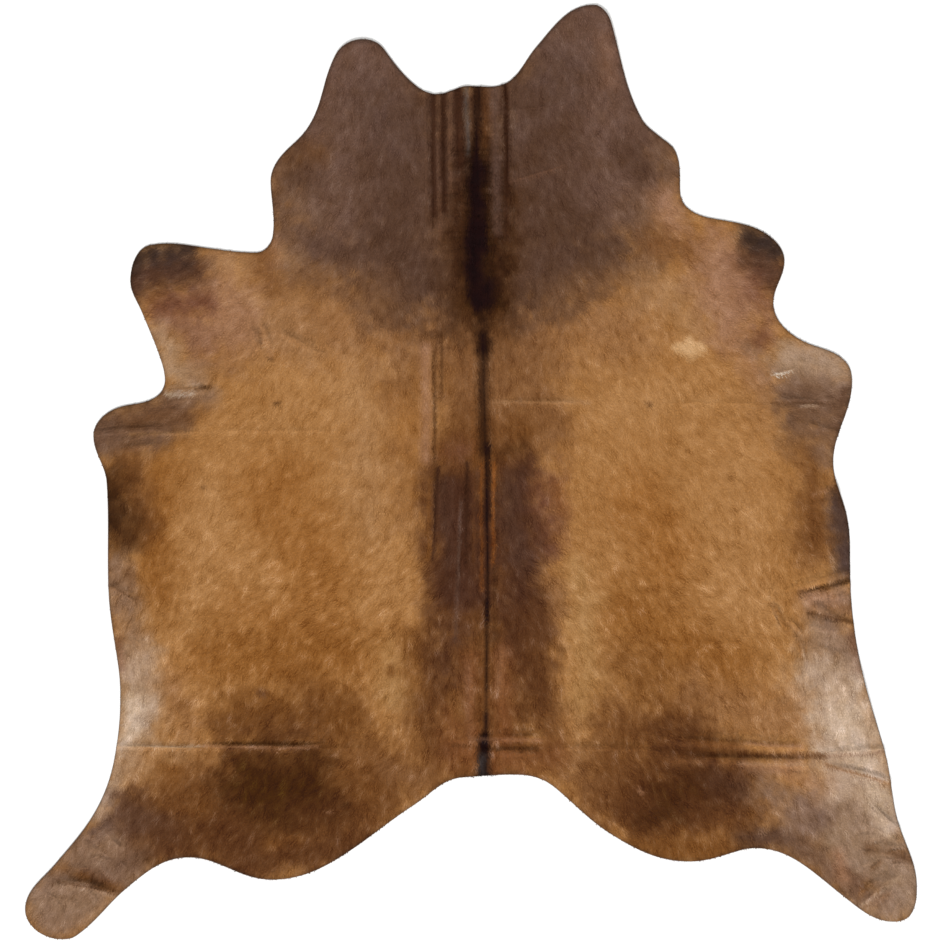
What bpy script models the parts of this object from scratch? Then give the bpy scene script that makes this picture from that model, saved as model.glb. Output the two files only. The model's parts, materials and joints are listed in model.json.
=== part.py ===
# A hair-on cow hide laid flat on a floor, coat upwards: one sheet with an uneven cut rim and low folds
# Metres, +Z up, +Y towards the neck. The origin is on the floor under the middle of the hide's box.
# The tables below are for a hide 2.20 m from neck flap to hind foot and 2.10 m from foot to foot

from collections import namedtuple
from math import cos, pi, radians, sin

import bmesh
import bpy
from mathutils import Vector
from mathutils.geometry import delaunay_2d_cdt, interpolate_bezier
from mathutils.kdtree import KDTree

# Driving dimensions: leather and flattened coat together, then the spacing of the surface's points
HIDE_THICKNESS = 0.004
RIM_STEP = 0.018
FOLD_STEP = 0.045
FIELD_STEP = 0.110

# How close a point may come to the rim, to another fold's points and to any point in the field, and
# how close two points count as one
RIM_CLEARANCE = 0.006
FOLD_CLEARANCE = 0.004
FIELD_CLEARANCE = 0.040
SAME_POINT = 0.00001

# The share of a fold's length over which each end dies away
FOLD_END_SHARE = 0.30

# How far the rim follows a bend's heading, as a share of the distance to the next bend
HANDLE_SHARE = 0.36

# The kind of triangulation that keeps only what lies inside the rim
INSIDE_ONLY = 1

# Each bend of the cut rim: its place, the way the rim runs there in degrees from +X, and how far the
# curve follows that way before and after it
Bend = namedtuple("Bend", "name x y heading before after", defaults=(HANDLE_SHARE, HANDLE_SHARE))

# The rim, clockwise as seen from above, in one short table for each stretch that a tanner would name
RIM = {
    "neck edge": (
        Bend("left dip", -0.080, 0.890, 0),
        Bend("middle rise", -0.006, 0.909, 0),
        Bend("right end", 0.066, 0.910, 12),
    ),
    "right neck flap": (
        Bend("inner slope", 0.153, 1.000, 49),
        Bend("tip", 0.287, 1.100, 0),
        Bend("outer corner", 0.331, 1.055, -74),
        Bend("outer slope", 0.401, 0.834, -62),
        Bend("lower slope", 0.445, 0.790, -39),
        Bend("base", 0.484, 0.750, -70),
        Bend("notch", 0.493, 0.655, -86),
    ),
    "right foreleg": (
        Bend("root", 0.556, 0.600, -12),
        Bend("shoulder", 0.712, 0.548, -42),
        Bend("tip", 0.738, 0.495, -92),
        Bend("hollow", 0.712, 0.398, -90),
    ),
    "right elbow": (
        Bend("root", 0.775, 0.312, -30),
        Bend("corner", 0.882, 0.260, -48),
        Bend("side", 0.896, 0.193, -96),
    ),
    "right flank": (
        Bend("hollow", 0.853, 0.024, -90),
        Bend("swell", 0.883, -0.094, -76),
        Bend("middle", 0.893, -0.254, -88),
        Bend("belly", 0.920, -0.466, -78),
        Bend("lower belly", 0.977, -0.669, -76),
    ),
    "right hind leg": (
        Bend("root", 1.012, -0.843, -70),
        Bend("outer side", 1.050, -0.978, -90, 0.36, 0.46),
        Bend("sole", 0.996, -1.059, 180, 0.46, 0.36),
        Bend("inner side", 0.872, -0.995, 142),
        Bend("hollow", 0.667, -0.885, 180, 0.36, 0.28),
    ),
    "rump": (
        Bend("right haunch", 0.504, -0.917, 178, 0.46, 0.36),
        Bend("right slope", 0.330, -0.853, 148),
        Bend("right rise", 0.200, -0.745, 140),
        Bend("tail right", 0.115, -0.713, 178),
        Bend("tail left", -0.019, -0.719, 184),
        Bend("left rise", -0.134, -0.784, 213),
        Bend("left slope", -0.297, -0.900, 213),
        Bend("left haunch", -0.469, -0.960, 180),
    ),
    "left hind leg": (
        Bend("haunch end", -0.601, -0.920, 158),
        Bend("hollow", -0.669, -0.907, 182),
        Bend("inner side", -0.812, -0.981, 220),
        Bend("inner foot", -0.931, -1.093, 214),
        Bend("sole", -0.966, -1.100, 180),
        Bend("toe", -1.050, -1.030, 90),
        Bend("outer side", -0.980, -0.924, 50),
        Bend("root", -0.868, -0.766, 66),
    ),
    "left flank": (
        Bend("lower belly", -0.833, -0.634, 82),
        Bend("belly", -0.826, -0.513, 91),
        Bend("middle", -0.853, -0.290, 93),
        Bend("swell", -0.858, -0.024, 94),
    ),
    "left elbow": (
        Bend("side", -0.889, 0.085, 90),
        Bend("corner", -0.836, 0.150, 22),
        Bend("root", -0.737, 0.181, 40),
        Bend("hollow", -0.721, 0.226, 97, 0.36, 0.24),
    ),
    "left foreleg": (
        Bend("lower side", -0.774, 0.375, 112),
        Bend("tip", -0.802, 0.455, 88),
        Bend("shoulder", -0.754, 0.535, 10),
        Bend("top", -0.615, 0.527, -8),
        Bend("root", -0.506, 0.517, 0),
    ),
    "left neck flap": (
        Bend("notch", -0.467, 0.556, 82),
        Bend("base", -0.472, 0.681, 92),
        Bend("lower slope", -0.413, 0.778, 42),
        Bend("outer slope", -0.354, 0.881, 74),
        Bend("outer corner", -0.319, 0.982, 62),
        Bend("tip", -0.254, 1.019, 0),
        Bend("inner corner", -0.204, 0.995, -54),
        Bend("inner slope", -0.132, 0.912, -40),
    ),
}

# Each fold: its two ends, how far its middle bows to the left on the way from start to end, its width
# and its height. Those that run off the rim end outside it
Fold = namedtuple("Fold", "name x1 y1 x2 y2 bow width height")

# A crease is a valley between two ridges, a ridge stands up along its middle, and a swell is a broad
# low ridge that lets the rim stand off the floor
FOLDS = {
    "crease": (
        Fold("spine at the neck", 0.004, 0.980, 0.024, 0.330, 0.003, 0.044, 0.0060),
        Fold("spine along the back", 0.024, 0.420, 0.042, -0.380, 0.002, 0.034, 0.0050),
        Fold("spine at the rump", 0.038, -0.300, 0.034, -0.780, 0.000, 0.042, 0.0055),
        Fold("left edge of the saddle", -0.080, 0.010, -0.084, -0.190, 0.004, 0.024, 0.0045),
        Fold("neck pleat, outer left", -0.088, 0.950, -0.080, 0.520, 0.000, 0.026, 0.0055),
        Fold("neck pleat, right", 0.088, 0.980, 0.082, 0.460, 0.000, 0.026, 0.0055),
        Fold("packing fold at the tail", -0.030, -0.644, 0.200, -0.640, 0.003, 0.034, 0.0060),
        Fold("packing fold, right", 0.430, -0.648, 0.840, -0.671, -0.006, 0.040, 0.0080),
        Fold("right belly, upper", 0.770, -0.290, 0.920, -0.240, 0.003, 0.030, 0.0060),
        Fold("right flank nick", 0.832, -0.020, 0.872, -0.066, 0.002, 0.024, 0.0045),
        Fold("left shoulder, upright", -0.507, 0.352, -0.490, 0.286, 0.002, 0.026, 0.0050),
    ),
    "ridge": (
        Fold("inside the saddle", -0.009, 0.030, -0.032, -0.370, -0.006, 0.022, 0.0045),
        Fold("left back", -0.086, 0.330, -0.084, 0.040, 0.000, 0.024, 0.0035),
        Fold("neck pleat, inner left", -0.050, 0.950, -0.054, 0.560, 0.000, 0.018, 0.0045),
        Fold("packing fold, far left", -0.880, -0.644, -0.610, -0.651, 0.000, 0.022, 0.0045),
        Fold("packing fold, left", -0.640, -0.648, -0.350, -0.650, 0.003, 0.030, 0.0065),
        Fold("packing fold, middle", 0.180, -0.647, 0.460, -0.650, 0.000, 0.022, 0.0035),
        Fold("packing fold, upper fork", 0.820, -0.664, 1.020, -0.650, 0.002, 0.022, 0.0050),
        Fold("packing fold, lower fork", 0.826, -0.684, 1.030, -0.742, 0.004, 0.024, 0.0050),
        Fold("right belly, middle", 0.782, -0.296, 0.920, -0.368, -0.004, 0.026, 0.0055),
        Fold("right belly, lower", 0.708, -0.306, 0.736, -0.374, 0.006, 0.022, 0.0045),
        Fold("right belly, low wrinkle", 0.776, -0.386, 0.790, -0.444, -0.004, 0.022, 0.0045),
        Fold("right elbow, upper", 0.704, 0.168, 0.830, 0.160, 0.006, 0.028, 0.0050),
        Fold("right elbow, lower", 0.770, 0.118, 0.900, 0.078, 0.004, 0.024, 0.0045),
        Fold("left elbow, upper", -0.920, 0.088, -0.700, 0.106, 0.004, 0.026, 0.0055),
        Fold("left elbow, lower", -0.840, 0.052, -0.720, 0.064, 0.003, 0.024, 0.0045),
        Fold("left shoulder, slanting", -0.462, 0.342, -0.350, 0.286, -0.008, 0.030, 0.0055),
        Fold("left foreleg", -0.660, 0.206, -0.610, 0.182, 0.002, 0.024, 0.0045),
        Fold("left belly", -0.870, -0.258, -0.782, -0.300, 0.000, 0.022, 0.0045),
        Fold("left foot", -0.982, -0.962, -0.838, -0.992, 0.010, 0.034, 0.0085),
        Fold("right foot", 0.920, -1.022, 1.012, -0.944, 0.014, 0.034, 0.0085),
        Fold("right heel", 0.940, -0.786, 1.020, -0.850, 0.000, 0.024, 0.0050),
    ),
    "swell": (
        Fold("left neck flap", -0.300, 1.100, -0.210, 0.720, 0.000, 0.200, 0.0040),
        Fold("right neck flap", 0.350, 1.170, 0.270, 0.780, 0.000, 0.180, 0.0045),
        Fold("left foreleg", -0.880, 0.420, -0.520, 0.400, 0.000, 0.130, 0.0040),
        Fold("right foreleg", 0.820, 0.470, 0.500, 0.450, 0.000, 0.120, 0.0040),
        Fold("left belly", -0.930, -0.430, -0.580, -0.380, 0.000, 0.200, 0.0050),
        Fold("right belly", 1.020, -0.530, 0.620, -0.460, 0.000, 0.220, 0.0050),
        Fold("left groin", -0.670, -0.990, -0.620, -0.700, 0.000, 0.180, 0.0050),
        Fold("right groin", 0.670, -0.970, 0.630, -0.700, 0.000, 0.180, 0.0050),
    ),
}

# Where each form of fold needs rows of points, in widths to either side of its middle
POINT_ROWS = {
    "crease": (-1, -0.72, -0.5, -0.25, 0, 0.25, 0.5, 0.72, 1),
    "ridge": (-0.5, -0.25, 0, 0.25, 0.5),
    "swell": (-0.5, -0.25, 0, 0.25, 0.5),
}


def heading_vector(degrees):
    return Vector((cos(radians(degrees)), sin(radians(degrees))))


def rim_course():
    # Points along the cut rim, on one smooth closed curve through the bends
    bends = [bend for stretch in RIM.values() for bend in stretch]
    course = []
    for here, there in zip(bends, bends[1:] + bends[:1]):
        start = Vector((here.x, here.y))
        end = Vector((there.x, there.y))
        reach = (end - start).length
        leaving = start + heading_vector(here.heading) * reach * here.after
        arriving = end - heading_vector(there.heading) * reach * there.before
        steps = max(2, round(reach / RIM_STEP))
        course += interpolate_bezier(start, leaving, arriving, end, steps + 1)[:-1]
    return course


def fold_frame(fold):
    # A fold's start, its whole length, the way it runs and the way to its left
    start = Vector((fold.x1, fold.y1))
    along = Vector((fold.x2, fold.y2)) - start
    length = along.length
    along.normalize()
    return start, length, along, Vector((-along.y, along.x))


def smooth_bump(share):
    # 1 in the middle, falling to 0 with level ends at a share of 1 either way
    return 0.5 + 0.5 * cos(pi * share) if abs(share) < 1 else 0.0


def fold_lift(form, fold, place):
    # How high one fold lifts the hide off the floor at a place
    start, length, along, left = fold_frame(fold)
    offset = place - start
    run = offset.dot(along) / length
    if not 0 < run < 1:
        return 0.0
    side = (offset.dot(left) - fold.bow * sin(pi * run)) / fold.width
    fade = 1 - smooth_bump(min(run, 1 - run) / FOLD_END_SHARE)
    if form == "crease":
        side = abs(side) - 0.5
    return fold.height * fade * smooth_bump(2 * side)


def floor_gap(place):
    # The underside's height over the floor, from the highest fold at that place
    return max(fold_lift(form, fold, place) for form in FOLDS for fold in FOLDS[form])


def fold_points(form, fold):
    # Rows of points across the fold where its form turns, from end to end
    start, length, along, left = fold_frame(fold)
    steps = max(4, round(length / FOLD_STEP))
    points = []
    for step in range(steps + 1):
        run = step / steps
        middle = start + along * run * length + left * fold.bow * sin(pi * run)
        points += [middle + left * side * fold.width for side in POINT_ROWS[form]]
    return points


def field_points(rim):
    # An even field of points in staggered rows, for the hide between its folds
    west = min(p.x for p in rim)
    south = min(p.y for p in rim)
    columns = round((max(p.x for p in rim) - west) / FIELD_STEP)
    rows = round((max(p.y for p in rim) - south) / FIELD_STEP)
    points = []
    for row in range(rows + 1):
        shift = FIELD_STEP / 4 if row % 2 else -FIELD_STEP / 4
        for column in range(columns + 1):
            points.append(Vector((west + column * FIELD_STEP + shift, south + row * FIELD_STEP)))
    return points


def apart_from(points, others, least):
    # The points that keep at least this distance from all the others
    tree = KDTree(len(others))
    for index, other in enumerate(others):
        tree.insert(other.to_3d(), index)
    tree.balance()
    return [p for p in points if tree.find(p.to_3d())[2] > least]


def surface_points(rim):
    # The points inside the rim: those of each fold in turn, then the field between them
    inside = []
    for form in FOLDS:
        for fold in FOLDS[form]:
            fresh = apart_from(fold_points(form, fold), rim, RIM_CLEARANCE)
            if inside:
                fresh = apart_from(fresh, inside, FOLD_CLEARANCE)
            inside += fresh
    return inside + apart_from(field_points(rim), rim + inside, FIELD_CLEARANCE)


def hide_material():
    made = bpy.data.materials.new("tan coat on leather")
    made.use_nodes = True
    shader = made.node_tree.nodes["Principled BSDF"]
    shader.inputs["Base Color"].default_value = (0.36, 0.17, 0.06, 1)
    shader.inputs["Roughness"].default_value = 0.55
    shader.inputs["Metallic"].default_value = 0.0
    return made


def make_hide():
    # The flat sheet inside the rim, lifted along its folds and given its thickness upwards
    rim = rim_course()
    places = rim + surface_points(rim)
    cut_edge = list(range(len(rim)))
    flat_points, _, flat_faces, *_ = delaunay_2d_cdt(places, [], [cut_edge], INSIDE_ONLY, SAME_POINT)

    sheet = bmesh.new()
    corners = [sheet.verts.new((p.x, p.y, floor_gap(p))) for p in flat_points]
    for face in flat_faces:
        sheet.faces.new([corners[i] for i in face])
    outside = [v for v in sheet.verts if not v.link_faces]
    bmesh.ops.delete(sheet, geom=outside, context="VERTS")
    sheet.normal_update()
    bmesh.ops.reverse_faces(sheet, faces=[f for f in sheet.faces if f.normal.z < 0])

    mesh = bpy.data.meshes.new("hide")
    sheet.to_mesh(mesh)
    sheet.free()
    mesh.materials.append(hide_material())
    hide = bpy.data.objects.new("hide", mesh)
    bpy.context.collection.objects.link(hide)
    body = hide.modifiers.new("thickness", "SOLIDIFY")
    body.thickness = HIDE_THICKNESS
    body.offset = 1


for old in list(bpy.data.objects):
    bpy.data.objects.remove(old)
make_hide()
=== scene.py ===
# Hair-on cow hide laid flat: a fine leather sheet with its creases, and a short coat combed over it
# Metres, +Z up, +Y towards the neck, as in the frame

import json
from collections import namedtuple
from math import cos, hypot, pi, radians, sin

import bmesh
import bpy
import numpy as np
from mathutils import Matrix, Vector
from mathutils.geometry import delaunay_2d_cdt, interpolate_bezier
from mathutils.kdtree import KDTree

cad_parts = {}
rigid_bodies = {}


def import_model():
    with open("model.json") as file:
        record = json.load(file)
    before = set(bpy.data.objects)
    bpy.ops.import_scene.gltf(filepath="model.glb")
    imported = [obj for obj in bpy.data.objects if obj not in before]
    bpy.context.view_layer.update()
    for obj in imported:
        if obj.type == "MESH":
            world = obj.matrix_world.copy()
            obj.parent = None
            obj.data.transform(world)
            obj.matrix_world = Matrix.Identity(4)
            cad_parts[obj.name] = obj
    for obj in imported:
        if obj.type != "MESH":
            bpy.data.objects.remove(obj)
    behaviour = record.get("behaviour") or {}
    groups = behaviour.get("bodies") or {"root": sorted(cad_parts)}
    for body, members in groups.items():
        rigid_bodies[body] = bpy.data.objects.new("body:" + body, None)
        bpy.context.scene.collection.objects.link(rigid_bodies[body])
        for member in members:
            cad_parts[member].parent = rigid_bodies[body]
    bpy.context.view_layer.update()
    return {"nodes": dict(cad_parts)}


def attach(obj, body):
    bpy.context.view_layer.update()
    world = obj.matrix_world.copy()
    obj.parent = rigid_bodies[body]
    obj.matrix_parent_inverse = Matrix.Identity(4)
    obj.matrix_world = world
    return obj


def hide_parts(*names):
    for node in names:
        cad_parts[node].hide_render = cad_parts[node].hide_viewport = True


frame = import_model()
print("frame loaded:", ", ".join(sorted(frame["nodes"])))


# Noise and soft steps, used by the relief, the colouring and the comb
noise = {
    "cells": 256,       # of its square grid, which then repeats
    "column": 37.3,     # where on the grid the frame's origin lies
    "row": 11.9,
}
seeds = {
    "warpX": 5,
    "warpY": 15,
    "ragged": 25,
    "mottle": 35,
    "speckle": 45,
    "swirl": 41,
    "streak": 51,
    "clump": 55,
    "ripple": 61,
    "wander": 71,
    "uneven": 81,
    "pebble": 91,
    "locks": 2024,
}
millimetres = 1000  # in a metre
displayPower = 2.4  # of the curve between a tint as seen and its light


def valueNoise(x, y, cell, seed):
    cells = noise["cells"]
    lattice = np.random.default_rng(seed).uniform(-1, 1, (cells, cells))
    column = x / cell + noise["column"]
    row = y / cell + noise["row"]
    left = np.floor(column).astype(int)
    low = np.floor(row).astype(int)
    across = softStep(column - left)
    up = softStep(row - low)
    right = (left + 1) % cells
    high = (low + 1) % cells
    left = left % cells
    low = low % cells
    near = lattice[left, low] * (1 - across) + lattice[right, low] * across
    far = lattice[left, high] * (1 - across) + lattice[right, high] * across
    return near * (1 - up) + far * up


def layeredNoise(x, y, cell, seed, layers=3):
    total = sum(valueNoise(x, y, cell / 2 ** k, seed + k) / 2 ** k for k in range(layers))
    return total / sum(1 / 2 ** k for k in range(layers))


def softStep(share):
    share = np.clip(share, 0, 1)
    return share * share * (3 - 2 * share)


def softBump(share):
    return np.where(np.abs(share) < 1, 0.5 + 0.5 * np.cos(pi * share), 0.0)  # 1 in the middle, 0 at 1


# The photo, laid over the frame: its pixels' size on the floor, and the pixel over the frame's origin
photoGrid = {"pixel": 0.0023555, "column": 471, "row": 472}


def onFloor(column, row):
    x = (column - photoGrid["column"]) * photoGrid["pixel"]
    y = (photoGrid["row"] - row) * photoGrid["pixel"]
    return x, y


# The cut rim: each bend's place, the way the rim runs there in degrees, and how far the curve follows it
Bend = namedtuple("Bend", "name x y heading before after", defaults=(0.36, 0.36))

rimBends = (
    Bend("neck edge, left dip", -0.080, 0.890, 0),
    Bend("neck edge, middle rise", -0.006, 0.909, 0),
    Bend("neck edge, right end", 0.066, 0.910, 12),
    Bend("right neck flap, inner slope", 0.153, 1.000, 49),
    Bend("right neck flap, tip", 0.287, 1.100, 0),
    Bend("right neck flap, outer corner", 0.331, 1.055, -74),
    Bend("right neck flap, outer slope", 0.401, 0.834, -62),
    Bend("right neck flap, lower slope", 0.445, 0.790, -39),
    Bend("right neck flap, base", 0.484, 0.750, -70),
    Bend("right neck flap, notch", 0.493, 0.655, -86),
    Bend("right foreleg, root", 0.556, 0.600, -12),
    Bend("right foreleg, shoulder", 0.712, 0.548, -42),
    Bend("right foreleg, tip", 0.738, 0.495, -92),
    Bend("right foreleg, hollow", 0.712, 0.398, -90),
    Bend("right elbow, root", 0.775, 0.312, -30),
    Bend("right elbow, corner", 0.882, 0.260, -48),
    Bend("right elbow, side", 0.896, 0.193, -96),
    Bend("right flank, hollow", 0.853, 0.024, -90),
    Bend("right flank, swell", 0.883, -0.094, -76),
    Bend("right flank, middle", 0.893, -0.254, -88),
    Bend("right flank, belly", 0.920, -0.466, -78),
    Bend("right flank, lower belly", 0.977, -0.669, -76),
    Bend("right hind leg, root", 1.012, -0.843, -70),
    Bend("right hind leg, outer side", 1.050, -0.978, -90, 0.36, 0.46),
    Bend("right hind leg, sole", 0.996, -1.059, 180, 0.46, 0.36),
    Bend("right hind leg, inner side", 0.872, -0.995, 142),
    Bend("right hind leg, hollow", 0.667, -0.885, 180, 0.36, 0.28),
    Bend("rump, right haunch", 0.504, -0.917, 178, 0.46, 0.36),
    Bend("rump, right slope", 0.330, -0.853, 148),
    Bend("rump, right rise", 0.200, -0.745, 140),
    Bend("rump, tail right", 0.115, -0.713, 178),
    Bend("rump, tail left", -0.019, -0.719, 184),
    Bend("rump, left rise", -0.134, -0.784, 213),
    Bend("rump, left slope", -0.297, -0.900, 213),
    Bend("rump, left haunch", -0.469, -0.960, 180),
    Bend("left hind leg, haunch end", -0.601, -0.920, 158),
    Bend("left hind leg, hollow", -0.669, -0.907, 182),
    Bend("left hind leg, inner side", -0.812, -0.981, 220),
    Bend("left hind leg, inner foot", -0.931, -1.093, 214),
    Bend("left hind leg, sole", -0.966, -1.100, 180),
    Bend("left hind leg, toe", -1.050, -1.030, 90),
    Bend("left hind leg, outer side", -0.980, -0.924, 50),
    Bend("left hind leg, root", -0.868, -0.766, 66),
    Bend("left flank, lower belly", -0.833, -0.634, 82),
    Bend("left flank, belly", -0.826, -0.513, 91),
    Bend("left flank, middle", -0.853, -0.290, 93),
    Bend("left flank, swell", -0.858, -0.024, 94),
    Bend("left elbow, side", -0.889, 0.085, 90),
    Bend("left elbow, corner", -0.836, 0.150, 22),
    Bend("left elbow, root", -0.737, 0.181, 40),
    Bend("left elbow, hollow", -0.721, 0.226, 97, 0.36, 0.24),
    Bend("left foreleg, lower side", -0.774, 0.375, 112),
    Bend("left foreleg, tip", -0.802, 0.455, 88),
    Bend("left foreleg, shoulder", -0.754, 0.535, 10),
    Bend("left foreleg, top", -0.615, 0.527, -8),
    Bend("left foreleg, root", -0.506, 0.517, 0),
    Bend("left neck flap, notch", -0.467, 0.556, 82),
    Bend("left neck flap, base", -0.472, 0.681, 92),
    Bend("left neck flap, lower slope", -0.413, 0.778, 42),
    Bend("left neck flap, outer slope", -0.354, 0.881, 74),
    Bend("left neck flap, outer corner", -0.319, 0.982, 62),
    Bend("left neck flap, tip", -0.254, 1.019, 0),
    Bend("left neck flap, inner corner", -0.204, 0.995, -54),
    Bend("left neck flap, inner slope", -0.132, 0.912, -40),
)

# Folds: two ends, how far the middle bows to the left, width and height
Fold = namedtuple("Fold", "name x1 y1 x2 y2 bow width height")

# The solid's own folds, but for the right packing fold, which lies a few millimetres nearer the neck
mainFolds = {
    "crease": (  # a valley between two ridges
        Fold("spine at the neck", 0.004, 0.980, 0.024, 0.330, 0.003, 0.044, 0.0060),
        Fold("spine along the back", 0.024, 0.420, 0.042, -0.380, 0.002, 0.034, 0.0050),
        Fold("spine at the rump", 0.038, -0.300, 0.034, -0.780, 0.000, 0.042, 0.0055),
        Fold("left edge of the saddle", -0.080, 0.010, -0.084, -0.190, 0.004, 0.024, 0.0045),
        Fold("neck pleat, outer left", -0.088, 0.950, -0.080, 0.520, 0.000, 0.026, 0.0055),
        Fold("neck pleat, right", 0.088, 0.980, 0.082, 0.460, 0.000, 0.026, 0.0055),
        Fold("packing fold at the tail", -0.030, -0.644, 0.200, -0.640, 0.003, 0.034, 0.0060),
        Fold("packing fold, right", 0.430, -0.643, 0.840, -0.667, -0.003, 0.040, 0.0080),
        Fold("right belly, upper", 0.770, -0.290, 0.920, -0.240, 0.003, 0.030, 0.0060),
        Fold("right flank nick", 0.832, -0.020, 0.872, -0.066, 0.002, 0.024, 0.0045),
        Fold("left shoulder, upright", -0.507, 0.352, -0.490, 0.286, 0.002, 0.026, 0.0050),
    ),
    "ridge": (
        Fold("inside the saddle", -0.009, 0.030, -0.032, -0.370, -0.006, 0.022, 0.0045),
        Fold("left back", -0.086, 0.330, -0.084, 0.040, 0.000, 0.024, 0.0035),
        Fold("neck pleat, inner left", -0.050, 0.950, -0.054, 0.560, 0.000, 0.018, 0.0045),
        Fold("packing fold, far left", -0.880, -0.644, -0.610, -0.651, 0.000, 0.022, 0.0045),
        Fold("packing fold, left", -0.640, -0.648, -0.350, -0.650, 0.003, 0.030, 0.0065),
        Fold("packing fold, middle", 0.180, -0.647, 0.460, -0.650, 0.000, 0.022, 0.0035),
        Fold("packing fold, upper fork", 0.820, -0.664, 1.020, -0.650, 0.002, 0.022, 0.0050),
        Fold("packing fold, lower fork", 0.826, -0.684, 1.030, -0.742, 0.004, 0.024, 0.0050),
        Fold("right belly, middle", 0.782, -0.296, 0.920, -0.368, -0.004, 0.026, 0.0055),
        Fold("right belly, lower", 0.708, -0.306, 0.736, -0.374, 0.006, 0.022, 0.0045),
        Fold("right belly, low wrinkle", 0.776, -0.386, 0.790, -0.444, -0.004, 0.022, 0.0045),
        Fold("right elbow, upper", 0.704, 0.168, 0.830, 0.160, 0.006, 0.028, 0.0050),
        Fold("right elbow, lower", 0.770, 0.118, 0.900, 0.078, 0.004, 0.024, 0.0045),
        Fold("left elbow, upper", -0.920, 0.088, -0.700, 0.106, 0.004, 0.026, 0.0055),
        Fold("left elbow, lower", -0.840, 0.052, -0.720, 0.064, 0.003, 0.024, 0.0045),
        Fold("left shoulder, slanting", -0.462, 0.342, -0.350, 0.286, -0.008, 0.030, 0.0055),
        Fold("left foreleg", -0.660, 0.206, -0.610, 0.182, 0.002, 0.024, 0.0045),
        Fold("left belly", -0.870, -0.258, -0.782, -0.300, 0.000, 0.022, 0.0045),
        Fold("left foot", -0.982, -0.962, -0.838, -0.992, 0.010, 0.034, 0.0085),
        Fold("right foot", 0.920, -1.022, 1.012, -0.944, 0.014, 0.034, 0.0085),
        Fold("right heel", 0.940, -0.786, 1.020, -0.850, 0.000, 0.024, 0.0050),
    ),
    "swell": (  # a broad low ridge that lets the rim stand off the floor
        Fold("left neck flap", -0.300, 1.100, -0.210, 0.720, 0.000, 0.200, 0.0040),
        Fold("right neck flap", 0.350, 1.170, 0.270, 0.780, 0.000, 0.180, 0.0045),
        Fold("left foreleg", -0.880, 0.420, -0.520, 0.400, 0.000, 0.130, 0.0040),
        Fold("right foreleg", 0.820, 0.470, 0.500, 0.450, 0.000, 0.120, 0.0040),
        Fold("left belly", -0.930, -0.430, -0.580, -0.380, 0.000, 0.200, 0.0050),
        Fold("right belly", 1.020, -0.530, 0.620, -0.460, 0.000, 0.220, 0.0050),
        Fold("left groin", -0.670, -0.990, -0.620, -0.700, 0.000, 0.180, 0.0050),
        Fold("right groin", 0.670, -0.970, 0.630, -0.700, 0.000, 0.180, 0.0050),
    ),
}

# Fine wrinkles in the coat's surface: ridges, and grooves where the height is below zero
# Their ends are in the photo's pixels, their bow, width and height in millimetres
Wrinkle = namedtuple("Wrinkle", "name x1 y1 x2 y2 bow width height")
wrinkleDepth = 1.4  # against the heights in the rows

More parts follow.
